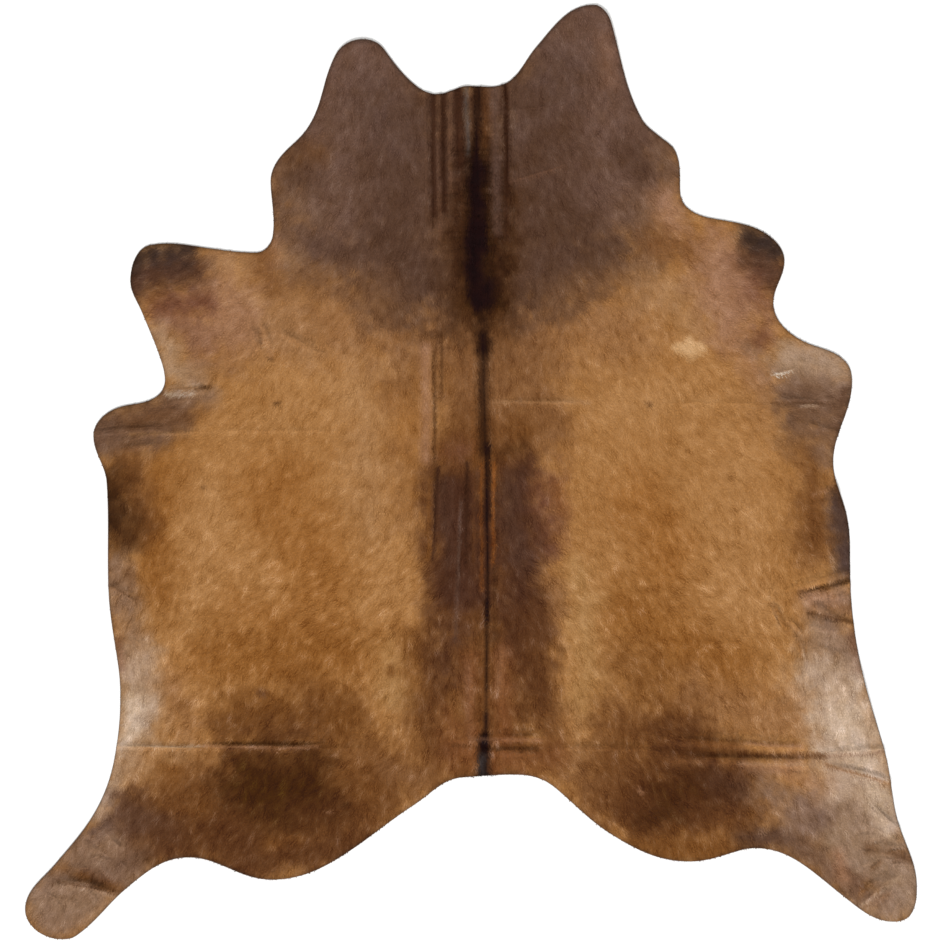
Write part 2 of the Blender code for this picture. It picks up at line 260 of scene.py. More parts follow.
wrinkles = (
    Wrinkle("neck pleat, second left", 445, 90, 445, 215, 0, 19, -1.2),
    Wrinkle("neck streak", 470, 86, 470, 150, 0, 19, 1.0),
    Wrinkle("neck pleat, beside the spine", 497, 90, 498, 190, 0, 28, 1.6),
    Wrinkle("spine edge, left", 478, 456, 480, 590, 0, 14, 1.4),
    Wrinkle("spine edge, right", 495, 456, 494, 590, 0, 14, 1.4),
    Wrinkle("left back, thin", 442, 333, 442, 389, 0, 12, -1.0),
    Wrinkle("saddle, middle line", 450, 470, 449, 600, 0, 16, -0.8),
    Wrinkle("cross line, far left", 130, 436, 210, 431, 0, 14, 1.2),
    Wrinkle("cross line, left", 200, 431, 345, 432, 2, 14, 0.9),
    Wrinkle("cross line, right", 494, 402, 590, 402, 0, 14, 1.4),
    Wrinkle("cross line, right faint", 650, 403, 780, 404, 0, 14, 0.8),
    Wrinkle("cross line, right elbow", 770, 403, 830, 402, 0, 12, -1.2),
    Wrinkle("cross line, right elbow lower", 772, 408, 822, 407, 0, 12, 1.2),
    Wrinkle("left elbow, strand 1", 112, 443, 160, 436, 5, 16, 1.3),
    Wrinkle("left elbow, strand 2", 120, 452, 150, 448, 2, 14, 0.9),
    Wrinkle("left elbow, strand 3", 160, 406, 196, 398, 2, 14, 1.4),
    Wrinkle("left elbow, strand 4", 150, 413, 190, 409, 2, 14, 1.0),
    Wrinkle("left armpit, crease", 178, 388, 214, 385, 2, 14, -1.6),
    Wrinkle("left shoulder, short ridge", 262, 320, 270, 356, 7, 16, 1.4),
    Wrinkle("left shoulder, groove", 256, 322, 262, 350, 5, 14, -1.4),
    Wrinkle("left shoulder, long groove", 284, 336, 335, 352, -7, 14, -1.4),
    Wrinkle("left foreleg, wrinkle 1", 170, 290, 196, 300, 5, 16, 1.1),
    Wrinkle("left foreleg, wrinkle 2", 188, 312, 204, 330, 5, 16, 1.0),
    Wrinkle("left foreleg, wrinkle 3", 212, 270, 228, 284, -9, 19, 0.9),
    Wrinkle("right shoulder, streak 1", 660, 236, 668, 262, 2, 14, 1.0),
    Wrinkle("right shoulder, streak 2", 670, 232, 680, 262, 2, 14, 1.0),
    Wrinkle("right shoulder, streak 3", 684, 236, 692, 258, 2, 14, 0.9),
    Wrinkle("right foreleg, wrinkle 1", 700, 300, 706, 336, 2, 14, 1.0),
    Wrinkle("right foreleg, wrinkle 2", 716, 290, 720, 322, 2, 14, 0.9),
    Wrinkle("right foreleg, wrinkle 3", 740, 262, 776, 268, -5, 16, 0.9),
    Wrinkle("right elbow, hair edge", 770, 378, 800, 369, 5, 14, 1.6),
    Wrinkle("right elbow, crease 1", 790, 360, 832, 372, 5, 19, 0.9),
    Wrinkle("left flank edge, wrinkle 1", 112, 500, 136, 506, 2, 16, 1.0),
    Wrinkle("left flank edge, wrinkle 2", 110, 560, 140, 566, 2, 16, 1.0),
    Wrinkle("left flank edge, crease", 109, 586, 140, 600, 2, 14, -1.6),
    Wrinkle("left flank edge, crease 2", 124, 604, 146, 596, 2, 14, 1.2),
    Wrinkle("left belly, wrinkle 1", 124, 640, 150, 646, 5, 19, 0.9),
    Wrinkle("left belly, wrinkle 2", 128, 700, 152, 690, 5, 19, 0.8),
    Wrinkle("right flank edge, nick", 822, 496, 842, 482, 2, 14, -1.8),
    Wrinkle("right flank edge, ridge", 818, 504, 846, 500, 2, 16, 1.4),
    Wrinkle("right flank edge, wrinkle", 800, 536, 812, 560, 2, 14, 1.0),
    Wrinkle("right belly, crease 1", 796, 595, 834, 584, 5, 14, -2.0),
    Wrinkle("right belly, crease 2", 834, 584, 852, 578, 2, 12, -1.5),
    Wrinkle("right belly, roll 1", 800, 602, 850, 596, 5, 21, 1.8),
    Wrinkle("right belly, crease 3", 804, 612, 848, 622, -5, 14, -1.8),
    Wrinkle("right belly, roll 2", 800, 622, 846, 632, -5, 21, 1.5),
    Wrinkle("right belly, crease 4", 812, 640, 850, 650, -5, 16, -1.2),
    Wrinkle("right belly, ridge 1", 770, 598, 782, 632, 7, 14, 1.6),
    Wrinkle("right belly, ridge 2", 784, 618, 804, 636, 5, 14, 1.5),
    Wrinkle("right belly, ridge 3", 798, 636, 804, 662, -2, 12, 1.3),
    Wrinkle("right belly, ridge 4", 790, 640, 794, 690, -2, 14, 0.9),
    Wrinkle("right belly, ridge 5", 776, 580, 768, 606, 2, 12, 1.1),
    Wrinkle("right belly, scratch", 806, 578, 782, 592, 2, 9, 1.1),
    Wrinkle("right belly, wavy ridge 1", 806, 604, 802, 640, 6, 12, 1.2),
    Wrinkle("right belly, wavy ridge 2", 808, 650, 812, 700, -6, 12, 1.0),
    Wrinkle("right belly, wavy groove", 798, 610, 796, 660, 5, 12, -1.0),
    Wrinkle("packing fold, thin left", 118, 746, 215, 748, 0, 10, 0.8),
    Wrinkle("packing fold, thin left end", 310, 748, 380, 748, 0, 12, 0.9),
    Wrinkle("packing fold, left lip", 205, 742, 322, 742, 0, 10, -0.8),
    Wrinkle("packing fold, tail lip", 430, 741, 560, 739, 0, 14, 1.4),
    Wrinkle("packing fold, faint", 560, 747, 680, 748, 0, 12, -1.0),
    Wrinkle("packing fold, right upper lip", 690, 745, 830, 750, 0, 14, 1.0),
    Wrinkle("packing fold, right lower lip", 690, 762, 824, 768, 0, 14, 1.0),
    Wrinkle("packing fold, right groove", 665, 753, 828, 758, 0, 12, -1.2),
    Wrinkle("packing fold, right wrinkle 1", 776, 771, 812, 773, 2, 12, -1.2),
    Wrinkle("packing fold, right wrinkle 2", 840, 742, 876, 750, 2, 12, 0.9),
    Wrinkle("packing fold, right fork groove", 828, 762, 892, 776, 2, 14, -1.5),
    Wrinkle("right thigh, line", 868, 800, 900, 830, 0, 9, 1.0),
    Wrinkle("right thigh, line 2", 852, 820, 896, 838, 2, 14, 0.8),
    Wrinkle("right heel, crease 1", 866, 842, 912, 848, 7, 16, -1.6),
    Wrinkle("right heel, crease 2", 872, 852, 908, 862, 5, 16, 1.4),
    Wrinkle("right heel, crease 3", 850, 872, 888, 858, 5, 16, 1.2),
    Wrinkle("right foot, crease 1", 836, 884, 850, 900, 5, 16, -1.6),
    Wrinkle("right foot, crease 2", 858, 908, 900, 870, 12, 14, -1.8),
    Wrinkle("right foot, crease 3", 874, 906, 896, 888, 7, 16, 1.6),
    Wrinkle("right foot, crease 4", 892, 914, 908, 896, 5, 16, 0.9),
    Wrinkle("left foot, crease 1", 58, 877, 118, 889, 7, 12, -1.4),
    Wrinkle("left foot, crease 2", 62, 868, 96, 870, 5, 16, 1.2),
    Wrinkle("left foot, crease 3", 98, 858, 112, 876, -7, 16, 1.2),
    Wrinkle("left foot, crease 4", 76, 882, 70, 894, 2, 14, -1.0),
    Wrinkle("left foot, crease 5", 44, 896, 84, 908, 7, 19, 0.9),
    Wrinkle("left leg, crease 1", 104, 826, 126, 850, -7, 19, 1.2),
    Wrinkle("left leg, crease 2", 118, 820, 124, 846, 5, 16, -1.0),
    Wrinkle("left leg, crease 3", 84, 846, 110, 858, 5, 16, 0.9),
    Wrinkle("left haunch, wrinkle 1", 300, 690, 345, 672, 5, 16, 0.7),
    Wrinkle("left haunch, wrinkle 2", 340, 684, 372, 676, 5, 16, 0.7),
    Wrinkle("right haunch, wrinkle", 650, 742, 660, 756, 2, 12, 0.9),
    Wrinkle("neck scratch 1", 508, 183, 568, 165, 0, 9, 0.6),
    Wrinkle("neck scratch 2", 500, 112, 580, 104, 0, 9, 0.5),
    Wrinkle("neck scratch 3", 590, 140, 604, 134, 0, 9, 0.6),
    Wrinkle("neck scratch 4", 300, 196, 352, 212, 5, 9, 0.5),
    Wrinkle("right belly, arc 1", 768, 598, 784, 632, -6, 9, 2.0),
    Wrinkle("right belly, arc 1 shade", 772, 600, 788, 634, -6, 9, -1.6),
    Wrinkle("right belly, arc 2", 786, 616, 803, 637, 3, 9, 2.0),
    Wrinkle("right belly, arc 2 shade", 784, 620, 800, 640, 3, 9, -1.6),
    Wrinkle("right belly, twig 1", 797, 640, 803, 660, 3, 8, -1.8),
    Wrinkle("right belly, twig 2", 804, 644, 808, 660, -3, 8, -1.6),
    Wrinkle("right belly, twig 3", 800, 664, 802, 690, 4, 8, -1.4),
    Wrinkle("right belly, twig 4", 812, 680, 820, 696, 3, 8, -1.2),
    Wrinkle("right belly, squiggle 1", 796, 586, 806, 600, -4, 9, -1.6),
    Wrinkle("right belly, squiggle 2", 806, 584, 818, 592, 3, 9, 1.6),
    Wrinkle("right belly, squiggle 3", 812, 598, 824, 604, 3, 9, -1.4),
    Wrinkle("left leg, crinkle 1", 88, 862, 100, 856, 4, 9, 1.6),
    Wrinkle("left leg, crinkle 2", 98, 852, 112, 858, -4, 9, -1.6),
    Wrinkle("left leg, crinkle 3", 110, 840, 122, 850, 4, 9, 1.8),
    Wrinkle("left leg, crinkle 4", 84, 838, 98, 848, 4, 9, -1.2),
    Wrinkle("left leg, crinkle 5", 118, 862, 128, 870, 3, 9, 1.2),
    Wrinkle("left foot, arc 1", 42, 892, 62, 908, 9, 9, 1.4),
    Wrinkle("left foot, arc 2", 84, 890, 98, 904, 7, 9, 1.4),
    Wrinkle("left foot, arc 3", 60, 900, 66, 916, 3, 9, -1.0),
    Wrinkle("left foot, arc 4", 52, 876, 66, 884, -3, 9, -1.6),
    Wrinkle("right heel, crinkle 1", 862, 850, 878, 852, 4, 8, -1.8),
    Wrinkle("right heel, crinkle 2", 884, 852, 905, 849, 4, 8, -2.0),
    Wrinkle("right heel, crinkle 3", 882, 858, 902, 858, -4, 8, 1.8),
    Wrinkle("right heel, crinkle 4", 903, 848, 904, 862, 3, 8, -1.6),
    Wrinkle("right heel, crinkle 5", 868, 870, 882, 860, 4, 8, -1.8),
    Wrinkle("right heel, crinkle 6", 872, 846, 886, 842, 3, 8, 1.4),
    Wrinkle("right heel, crinkle 7", 890, 866, 906, 864, 4, 8, 1.4),
    Wrinkle("right foot, pale strand 1", 861, 906, 892, 883, 9, 9, 2.0),
    Wrinkle("right foot, pale strand 2", 861, 894, 878, 880, 6, 9, 1.8),
    Wrinkle("right foot, curl", 878, 904, 890, 892, -7, 10, -1.6),
    Wrinkle("right leg, brow", 856, 834, 876, 834, 3, 10, -1.2),
    Wrinkle("right leg, fold", 832, 868, 846, 850, 5, 12, 1.4),
)


def foldFrom(wrinkle):
    x1, y1 = onFloor(wrinkle.x1, wrinkle.y1)
    x2, y2 = onFloor(wrinkle.x2, wrinkle.y2)
    bow = wrinkle.bow / millimetres
    height = wrinkle.height * wrinkleDepth / millimetres
    return Fold(wrinkle.name, x1, y1, x2, y2, bow, wrinkle.width / millimetres, height)


fineFolds = [foldFrom(wrinkle) for wrinkle in wrinkles]

pointRows = {  # where each form needs rows of points, in widths to either side
    "crease": (-1, -0.72, -0.5, -0.25, 0, 0.25, 0.5, 0.72, 1),
    "ridge": (-0.5, -0.25, 0, 0.25, 0.5),
    "fine": (-0.5, -0.2, 0, 0.2, 0.5),
}

sheet = {
    "thickness": 0.0040,      # leather and flattened coat
    "sunk": 0.0004,           # how far the skin lies under the coat's mean top
    "rimStep": 0.0068,        # between the mesh's points, along the rim
    "rowStep": 0.0095,        # along a fold
    "fieldStep": 0.0108,      # elsewhere
    "rimClearance": 0.0040,   # the least gap between a fold's points and the rim
    "rowClearance": 0.0022,   # between two folds' points
    "fieldClearance": 0.0060,  # between all of these and the points elsewhere
    "rowShare": 0.866,        # a row's distance from the next, against the step along it
    "leastSteps": 4,          # along a fold
    "rimFiner": 3,            # how much closer the rim's points are where distances are taken from it
    "samePoint": 0.000001,
    "foldEnd": 0.30,          # the share of a fold's length over which each end dies away
    "foldReach": 1.2,         # widths to either side that a fold can matter in
    "wander": 0.0016,         # how far a wrinkle strays from its course
    "wanderCell": 0.03,
    "underShare": 0.5,        # how much of a fine ridge the underside follows
    "unevenness": 0.00045,    # how much the laid leather rises and falls
    "unevenCell": 0.07,
    "pebble": 0.00022,
    "pebbleCell": 0.014,
    "rippleHeight": 0.0007,   # hair ripples across the neck
    "rippleLength": 0.013,
    "rippleMiddle": 0.02,     # in x
    "rippleReach": 0.11,      # to either side
    "rippleFade": 0.07,
    "rippleTop": 0.88,        # in y
    "rippleFoot": 0.42,
    "rippleEndFade": 0.15,
    "rippleStray": 0.008,
    "rippleStrayCell": 0.04,
    "cutProfile": ((0.0006, 0.0), (0.0, 0.40), (0.0001, 0.72), (0.0014, 1.0)),  # inset, share of height
    "flatSize": (2.10, 2.20),
    "flatArea": 2.87,
}


def headingVector(degrees):
    return Vector((cos(radians(degrees)), sin(radians(degrees))))


def rimCourse(step):
    course = []
    for here, there in zip(rimBends, rimBends[1:] + rimBends[:1]):
        start = Vector((here.x, here.y))
        end = Vector((there.x, there.y))
        reach = (end - start).length
        leaving = start + headingVector(here.heading) * reach * here.after
        arriving = end - headingVector(there.heading) * reach * there.before
        steps = max(2, round(reach / step))
        course += interpolate_bezier(start, leaving, arriving, end, steps + 1)[:-1]
    return course


def foldRun(fold):
    length = hypot(fold.x2 - fold.x1, fold.y2 - fold.y1)
    return length, (fold.x2 - fold.x1) / length, (fold.y2 - fold.y1) / length


def foldLift(form, fold, x, y):
    length, alongX, alongY = foldRun(fold)
    run = ((x - fold.x1) * alongX + (y - fold.y1) * alongY) / length
    left = (y - fold.y1) * alongX - (x - fold.x1) * alongY
    side = (left - fold.bow * np.sin(pi * run)) / fold.width
    fade = 1 - softBump(np.minimum(run, 1 - run) / sheet["foldEnd"])
    if form == "crease":
        side = np.abs(side) - 0.5
    return np.where((run > 0) & (run < 1), fold.height * fade * softBump(2 * side), 0.0)


def closeTo(fold, x, y):
    margin = fold.width * sheet["foldReach"] + abs(fold.bow)
    inX = (x > min(fold.x1, fold.x2) - margin) & (x < max(fold.x1, fold.x2) + margin)
    inY = (y > min(fold.y1, fold.y2) - margin) & (y < max(fold.y1, fold.y2) + margin)
    return np.flatnonzero(inX & inY)


def floorGap(x, y):
    gap = np.zeros(len(x))
    for form, folds in mainFolds.items():
        for fold in folds:
            near = closeTo(fold, x, y)
            gap[near] = np.maximum(gap[near], foldLift(form, fold, x[near], y[near]))
    return gap


def fineRelief(x, y):
    wander = sheet["wander"] * layeredNoise(x, y, sheet["wanderCell"], seeds["wander"])
    relief = sheet["unevenness"] * layeredNoise(x, y, sheet["unevenCell"], seeds["uneven"])
    relief += sheet["pebble"] * layeredNoise(x, y, sheet["pebbleCell"], seeds["pebble"])
    for fold in fineFolds:
        near = closeTo(fold, x, y)
        relief[near] += foldLift("ridge", fold, x[near] + wander[near], y[near] + wander[near])
    fade = sheet["rippleEndFade"]
    window = softStep((sheet["rippleReach"] - np.abs(x - sheet["rippleMiddle"])) / sheet["rippleFade"])
    window *= softStep((sheet["rippleTop"] - y) / fade) * softStep((y - sheet["rippleFoot"]) / fade)
    stray = sheet["rippleStray"] * layeredNoise(x, y, sheet["rippleStrayCell"], seeds["ripple"])
    phase = 2 * pi * (y + stray) / sheet["rippleLength"]
    return relief + sheet["rippleHeight"] * window * np.sin(phase)


def undersideHeight(x, y):
    return floorGap(x, y) + sheet["underShare"] * np.maximum(fineRelief(x, y), 0)


def coatTop(x, y):
    return floorGap(x, y) + sheet["thickness"] + fineRelief(x, y)


# The colouring: stains, painted sheen, and painted shade and highlights along folds and creases, laid
# over gold one after another, each along a stretch between two places
tints = {  # as seen on screen, 0 to 255
    "gold": (165, 116, 67),
    "deepGold": (151, 99, 49),
    "rustGold": (140, 90, 42),
    "ochre": (132, 86, 44),
    "paleGold": (174, 127, 80),
    "straw": (171, 128, 80),
    "sand": (161, 120, 82),
    "tan": (148, 104, 66),
    "brownEarth": (118, 82, 54),
    "umberGold": (118, 76, 42),
    "goldenBrown": (122, 82, 50),
    "chestnut": (106, 66, 34),
    "rust": (112, 69, 31),
    "russet": (124, 76, 43),
    "darkRust": (86, 51, 27),
    "umber": (66, 39, 19),
    "deepUmber": (66, 37, 15),
    "darkBrown": (84, 56, 41),
    "neckBrown": (104, 77, 63),
    "neckDeep": (84, 59, 45),
    "greyBrown": (96, 72, 61),
    "plum": (82, 57, 44),
    "saddle": (74, 45, 31),
    "ink": (22, 11, 8),
    "charcoal": (52, 40, 36),
    "pleat": (56, 33, 22),
    "deepPleat": (42, 22, 13),
    "slate": (82, 62, 55),
    "clay": (158, 115, 86),
    "beige": (166, 136, 110),
    "fawn": (176, 147, 122),
    "cream": (200, 174, 150),
    "mouse": (134, 103, 81),
    "darkMouse": (108, 79, 60),
    "footClay": (147, 116, 91),
    "darkClay": (126, 92, 67),
    "hoofClay": (150, 121, 98),
    "taupe": (130, 101, 83),
    "star": (198, 156, 110),
    "orange": (148, 84, 34),
    "redBrown": (104, 64, 46),
    "brick": (136, 95, 70),
    "white": (232, 222, 208),
    "steel": (72, 72, 74),
}

# A mark's two places are in the photo's pixels, its width and the softness of its edge in millimetres
StainOrPaintedLight = namedtuple("StainOrPaintedLight", "name tint x1 y1 x2 y2 width soft strength")

stainsAndPaintedLight = (
    # ground tones
    StainOrPaintedLight("upper back", "tan", 260, 322, 620, 328, 150, 170, 0.9),
    StainOrPaintedLight("shoulder, left", "sand", 245, 300, 300, 345, 90, 110, 0.4),
    StainOrPaintedLight("back, left grey-gold", "sand", 362, 370, 368, 520, 90, 120, 0.5),
    StainOrPaintedLight("left flank, bright", "paleGold", 200, 490, 205, 570, 100, 120, 0.5),
    StainOrPaintedLight("left flank, upper bright", "paleGold", 285, 400, 350, 402, 90, 110, 0.5),
    StainOrPaintedLight("left flank, deep", "deepGold", 275, 490, 322, 575, 170, 120, 0.85),
    StainOrPaintedLight("left flank, low deep", "deepGold", 240, 625, 325, 635, 110, 120, 0.8),
    StainOrPaintedLight("left flank, low glow", "gold", 225, 626, 252, 636, 60, 80, 0.6),
    StainOrPaintedLight("right flank, upper bright", "paleGold", 610, 402, 760, 405, 100, 120, 0.5),
    StainOrPaintedLight("right flank, bright", "paleGold", 735, 470, 745, 600, 120, 130, 0.45),
    StainOrPaintedLight("right flank, deep", "deepGold", 640, 500, 668, 560, 130, 120, 0.9),
    StainOrPaintedLight("right flank, low deep", "rustGold", 630, 610, 725, 665, 150, 150, 0.95),
    StainOrPaintedLight("right flank, low tan", "tan", 700, 700, 790, 715, 120, 130, 0.8),
    StainOrPaintedLight("left edge, browner", "rustGold", 166, 440, 156, 590, 80, 90, 0.9),
    StainOrPaintedLight("beside the spine, upper", "goldenBrown", 478, 330, 482, 440, 190, 140, 0.95),
    StainOrPaintedLight("back, right brown", "goldenBrown", 530, 330, 544, 432, 120, 120, 0.8),
    StainOrPaintedLight("back, left brown", "goldenBrown", 400, 340, 404, 400, 60, 110, 0.75),
    StainOrPaintedLight("back, left low", "rust", 446, 420, 448, 450, 20, 60, 0.5),
    StainOrPaintedLight("back, right low", "rust", 512, 425, 530, 430, 30, 70, 0.8),
    StainOrPaintedLight("back, left orange", "deepGold", 402, 402, 408, 450, 60, 60, 0.45),
    StainOrPaintedLight("left back, low brown", "goldenBrown", 402, 450, 404, 520, 30, 100, 0.45),
    StainOrPaintedLight("back, left warm", "ochre", 414, 430, 414, 505, 16, 40, 0.5),
    StainOrPaintedLight("back, right warm", "ochre", 562, 452, 564, 500, 30, 60, 0.45),
    # neck and its flaps
    StainOrPaintedLight("neck", "neckBrown", 350, 185, 600, 185, 310, 200, 1),
    StainOrPaintedLight("neck, lower left", "neckBrown", 305, 246, 420, 270, 120, 130, 0.95),
    StainOrPaintedLight("left neck, low corner", "sand", 264, 242, 298, 256, 40, 60, 0.6),
    StainOrPaintedLight("left cheek, edge shade", "neckBrown", 276, 162, 280, 204, 24, 40, 0.65),
    StainOrPaintedLight("neck, lower right", "neckDeep", 530, 268, 602, 256, 100, 140, 0.85),
    StainOrPaintedLight("left flap", "neckBrown", 352, 60, 360, 150, 320, 100, 1),
    StainOrPaintedLight("right flap", "neckBrown", 595, 20, 590, 140, 320, 110, 1),
    StainOrPaintedLight("neck, deep left", "neckDeep", 400, 130, 402, 286, 170, 150, 0.9),
    StainOrPaintedLight("neck, deep right", "neckDeep", 545, 110, 550, 276, 170, 150, 0.9),
    StainOrPaintedLight("neck, beside the spine", "neckDeep", 448, 90, 452, 310, 70, 120, 0.95),
    StainOrPaintedLight("neck, right of the spine", "neckDeep", 514, 90, 516, 315, 50, 130, 0.9),
    # Purplish grey on the neck flaps: partly the dark hair's own colour, partly its sheen painted in
    StainOrPaintedLight("left flap, purplish", "greyBrown", 372, 100, 396, 130, 80, 120, 0.8),
    StainOrPaintedLight("right flap, purplish", "greyBrown", 520, 120, 562, 70, 100, 130, 0.85),
    StainOrPaintedLight("right flap, inner edge", "neckDeep", 505, 84, 545, 54, 16, 30, 0.5),
    StainOrPaintedLight("right flap, paler tip", "brick", 606, 40, 612, 80, 30, 60, 0.45),
    StainOrPaintedLight("left flap, outer edge", "rust", 290, 160, 318, 150, 40, 70, 0.45),
    StainOrPaintedLight("left neck, side", "neckDeep", 282, 158, 298, 178, 70, 80, 0.75),
    StainOrPaintedLight("left neck, low side", "darkMouse", 278, 200, 286, 232, 60, 60, 0.8),
    StainOrPaintedLight("right neck, side", "neckDeep", 630, 148, 650, 174, 70, 80, 0.8),
    StainOrPaintedLight("right neck, low side", "darkMouse", 634, 200, 650, 258, 60, 80, 0.8),
    StainOrPaintedLight("left neck, paler", "mouse", 300, 195, 318, 215, 40, 80, 0.45),
    StainOrPaintedLight("left shoulder, dark", "neckDeep", 322, 240, 345, 262, 60, 100, 0.75),
    StainOrPaintedLight("right neck, dark", "neckDeep", 570, 225, 610, 262, 60, 120, 0.6),
    StainOrPaintedLight("neck, top edge", "neckDeep", 425, 104, 530, 100, 80, 90, 0.85),
    StainOrPaintedLight("neck, low middle", "neckDeep", 420, 276, 520, 276, 50, 90, 0.8),
    StainOrPaintedLight("neck, low left middle", "neckDeep", 390, 250, 438, 280, 90, 110, 0.9),
    StainOrPaintedLight("neck, lower fringe left", "brownEarth", 290, 280, 384, 294, 60, 110, 0.75),
    StainOrPaintedLight("neck, lower fringe right", "brownEarth", 560, 290, 640, 278, 40, 110, 0.7),
    StainOrPaintedLight("left neck, edge", "clay", 272, 238, 280, 258, 20, 80, 0.75),
    StainOrPaintedLight("right neck, corner", "darkMouse", 662, 148, 668, 174, 50, 50, 0.9),
    StainOrPaintedLight("right shoulder, pale", "clay", 662, 195, 676, 225, 50, 80, 0.85),
    StainOrPaintedLight("right shoulder, gold", "umberGold", 655, 240, 690, 250, 60, 80, 0.85),
    StainOrPaintedLight("right shoulder, lower", "sand", 650, 284, 700, 290, 80, 110, 0.7),
    StainOrPaintedLight("right shoulder, sandy", "sand", 672, 308, 700, 328, 60, 80, 0.6),
    StainOrPaintedLight("left shoulder, gold", "umberGold", 262, 258, 274, 285, 60, 80, 0.8),
    # forelegs and elbows
    StainOrPaintedLight("left foreleg", "clay", 215, 285, 235, 330, 120, 110, 0.85),
    StainOrPaintedLight("left foreleg, lower", "brick", 176, 318, 205, 350, 60, 90, 0.7),
    StainOrPaintedLight("left foreleg, sand", "sand", 218, 262, 245, 262, 40, 50, 0.6),
    StainOrPaintedLight("left foreleg, dark", "darkBrown", 130, 284, 190, 266, 90, 80, 1),
    StainOrPaintedLight("left foreleg, red", "redBrown", 160, 307, 208, 300, 50, 60, 0.85),
    StainOrPaintedLight("left foreleg, low blush", "brick", 174, 322, 206, 338, 50, 70, 0.6),
    StainOrPaintedLight("left foreleg, charcoal", "charcoal", 130, 258, 186, 250, 50, 70, 0.85),
    StainOrPaintedLight("left foreleg, beige", "beige", 160, 330, 170, 345, 40, 60, 0.7),
    StainOrPaintedLight("left foreleg, blush", "brick", 190, 322, 198, 362, 20, 50, 0.7),
    StainOrPaintedLight("left armpit, grey", "beige", 170, 364, 198, 380, 60, 60, 0.75),
    StainOrPaintedLight("left armpit, brown", "goldenBrown", 200, 378, 245, 366, 20, 70, 0.6),
    StainOrPaintedLight("left armpit, below", "mouse", 170, 404, 214, 397, 40, 60, 0.85),
    StainOrPaintedLight("right foreleg", "clay", 712, 262, 735, 312, 130, 100, 0.95),
    StainOrPaintedLight("right foreleg, blush", "brick", 735, 262, 748, 300, 50, 60, 0.75),
    StainOrPaintedLight("right foreleg, dark", "darkBrown", 756, 256, 770, 276, 80, 60, 0.95),
    StainOrPaintedLight("right foreleg, charcoal", "charcoal", 748, 236, 772, 248, 50, 50, 0.9),
    StainOrPaintedLight("right foreleg, top", "clay", 710, 234, 730, 240, 40, 60, 0.6),
    StainOrPaintedLight("right foreleg, inner shade", "darkBrown", 738, 242, 741, 264, 12, 30, 0.6),
    StainOrPaintedLight("right foreleg, rose", "redBrown", 754, 284, 764, 300, 40, 60, 0.7),
    StainOrPaintedLight("right armpit, brown", "redBrown", 755, 342, 764, 334, 30, 50, 0.8),
    StainOrPaintedLight("right armpit", "clay", 726, 336, 756, 372, 60, 90, 0.8),
    StainOrPaintedLight("right armpit, shade", "mouse", 750, 350, 772, 366, 30, 50, 0.6),
    StainOrPaintedLight("right elbow, root", "tan", 752, 385, 765, 410, 50, 90, 0.7),
    StainOrPaintedLight("right elbow, below", "brownEarth", 800, 445, 830, 450, 50, 80, 0.8),
    StainOrPaintedLight("left elbow", "darkMouse", 104, 430, 178, 414, 90, 70, 1),
    StainOrPaintedLight("left elbow, brown", "chestnut", 130, 422, 205, 412, 40, 60, 0.5),
    StainOrPaintedLight("left elbow, lower", "darkMouse", 104, 446, 160, 440, 50, 60, 0.9),
    StainOrPaintedLight("right elbow", "mouse", 800, 378, 842, 390, 120, 100, 1),
    StainOrPaintedLight("right elbow, pale", "beige", 786, 354, 836, 364, 70, 70, 0.95),
    StainOrPaintedLight("right elbow, dark band", "darkMouse", 786, 396, 842, 406, 68, 80, 0.9),
    StainOrPaintedLight("right elbow, lower", "darkMouse", 804, 420, 838, 430, 80, 90, 0.9),
    StainOrPaintedLight("right elbow, low beige", "beige", 832, 452, 836, 462, 16, 30, 0.7),
    StainOrPaintedLight("right elbow, outer edge", "darkBrown", 842, 390, 838, 430, 10, 40, 0.6),
    # the left side
    StainOrPaintedLight("left side, brown", "chestnut", 130, 466, 144, 528, 72, 80, 0.9),
    StainOrPaintedLight("left side, dark", "umber", 114, 482, 120, 535, 80, 80, 0.8),
    StainOrPaintedLight("left side, ink", "ink", 116, 498, 116, 520, 20, 60, 0.45),
    StainOrPaintedLight("left side, grey", "mouse", 118, 565, 122, 600, 60, 60, 0.85),
    StainOrPaintedLight("left side, low brown", "brownEarth", 130, 572, 138, 600, 30, 60, 0.65),
    StainOrPaintedLight("left belly, clay", "mouse", 128, 620, 132, 650, 60, 70, 0.7),
    StainOrPaintedLight("left belly, beige", "beige", 138, 665, 142, 720, 90, 80, 0.95),
    StainOrPaintedLight("left belly, cream", "cream", 134, 705, 126, 756, 60, 60, 0.9),
    StainOrPaintedLight("left belly, brown edge", "redBrown", 120, 640, 122, 668, 10, 30, 0.6),
    StainOrPaintedLight("left leg, pale edge", "fawn", 126, 760, 106, 800, 50, 60, 0.9),
    StainOrPaintedLight("left thigh, sand", "sand", 136, 768, 176, 752, 60, 80, 0.85),
    StainOrPaintedLight("left leg", "mouse", 62, 898, 122, 846, 170, 70, 1),
    StainOrPaintedLight("left leg, pale rim", "fawn", 94, 816, 108, 790, 20, 40, 0.85),
    # the right side
    StainOrPaintedLight("right side, brown", "chestnut", 810, 470, 812, 545, 76, 90, 0.88),
    StainOrPaintedLight("right side, upper", "mouse", 820, 448, 826, 462, 30, 50, 0.6),
    StainOrPaintedLight("right side, slate", "slate", 840, 500, 846, 565, 60, 60, 1),
    StainOrPaintedLight("right side, umber", "umber", 838, 488, 850, 520, 10, 40, 0.8),
    StainOrPaintedLight("right belly, clay", "clay", 815, 600, 845, 600, 50, 60, 0.9),
    StainOrPaintedLight("right belly, upper grey", "mouse", 836, 584, 846, 600, 30, 40, 0.7),
    StainOrPaintedLight("right belly, grey", "mouse", 822, 628, 848, 655, 90, 90, 0.95),
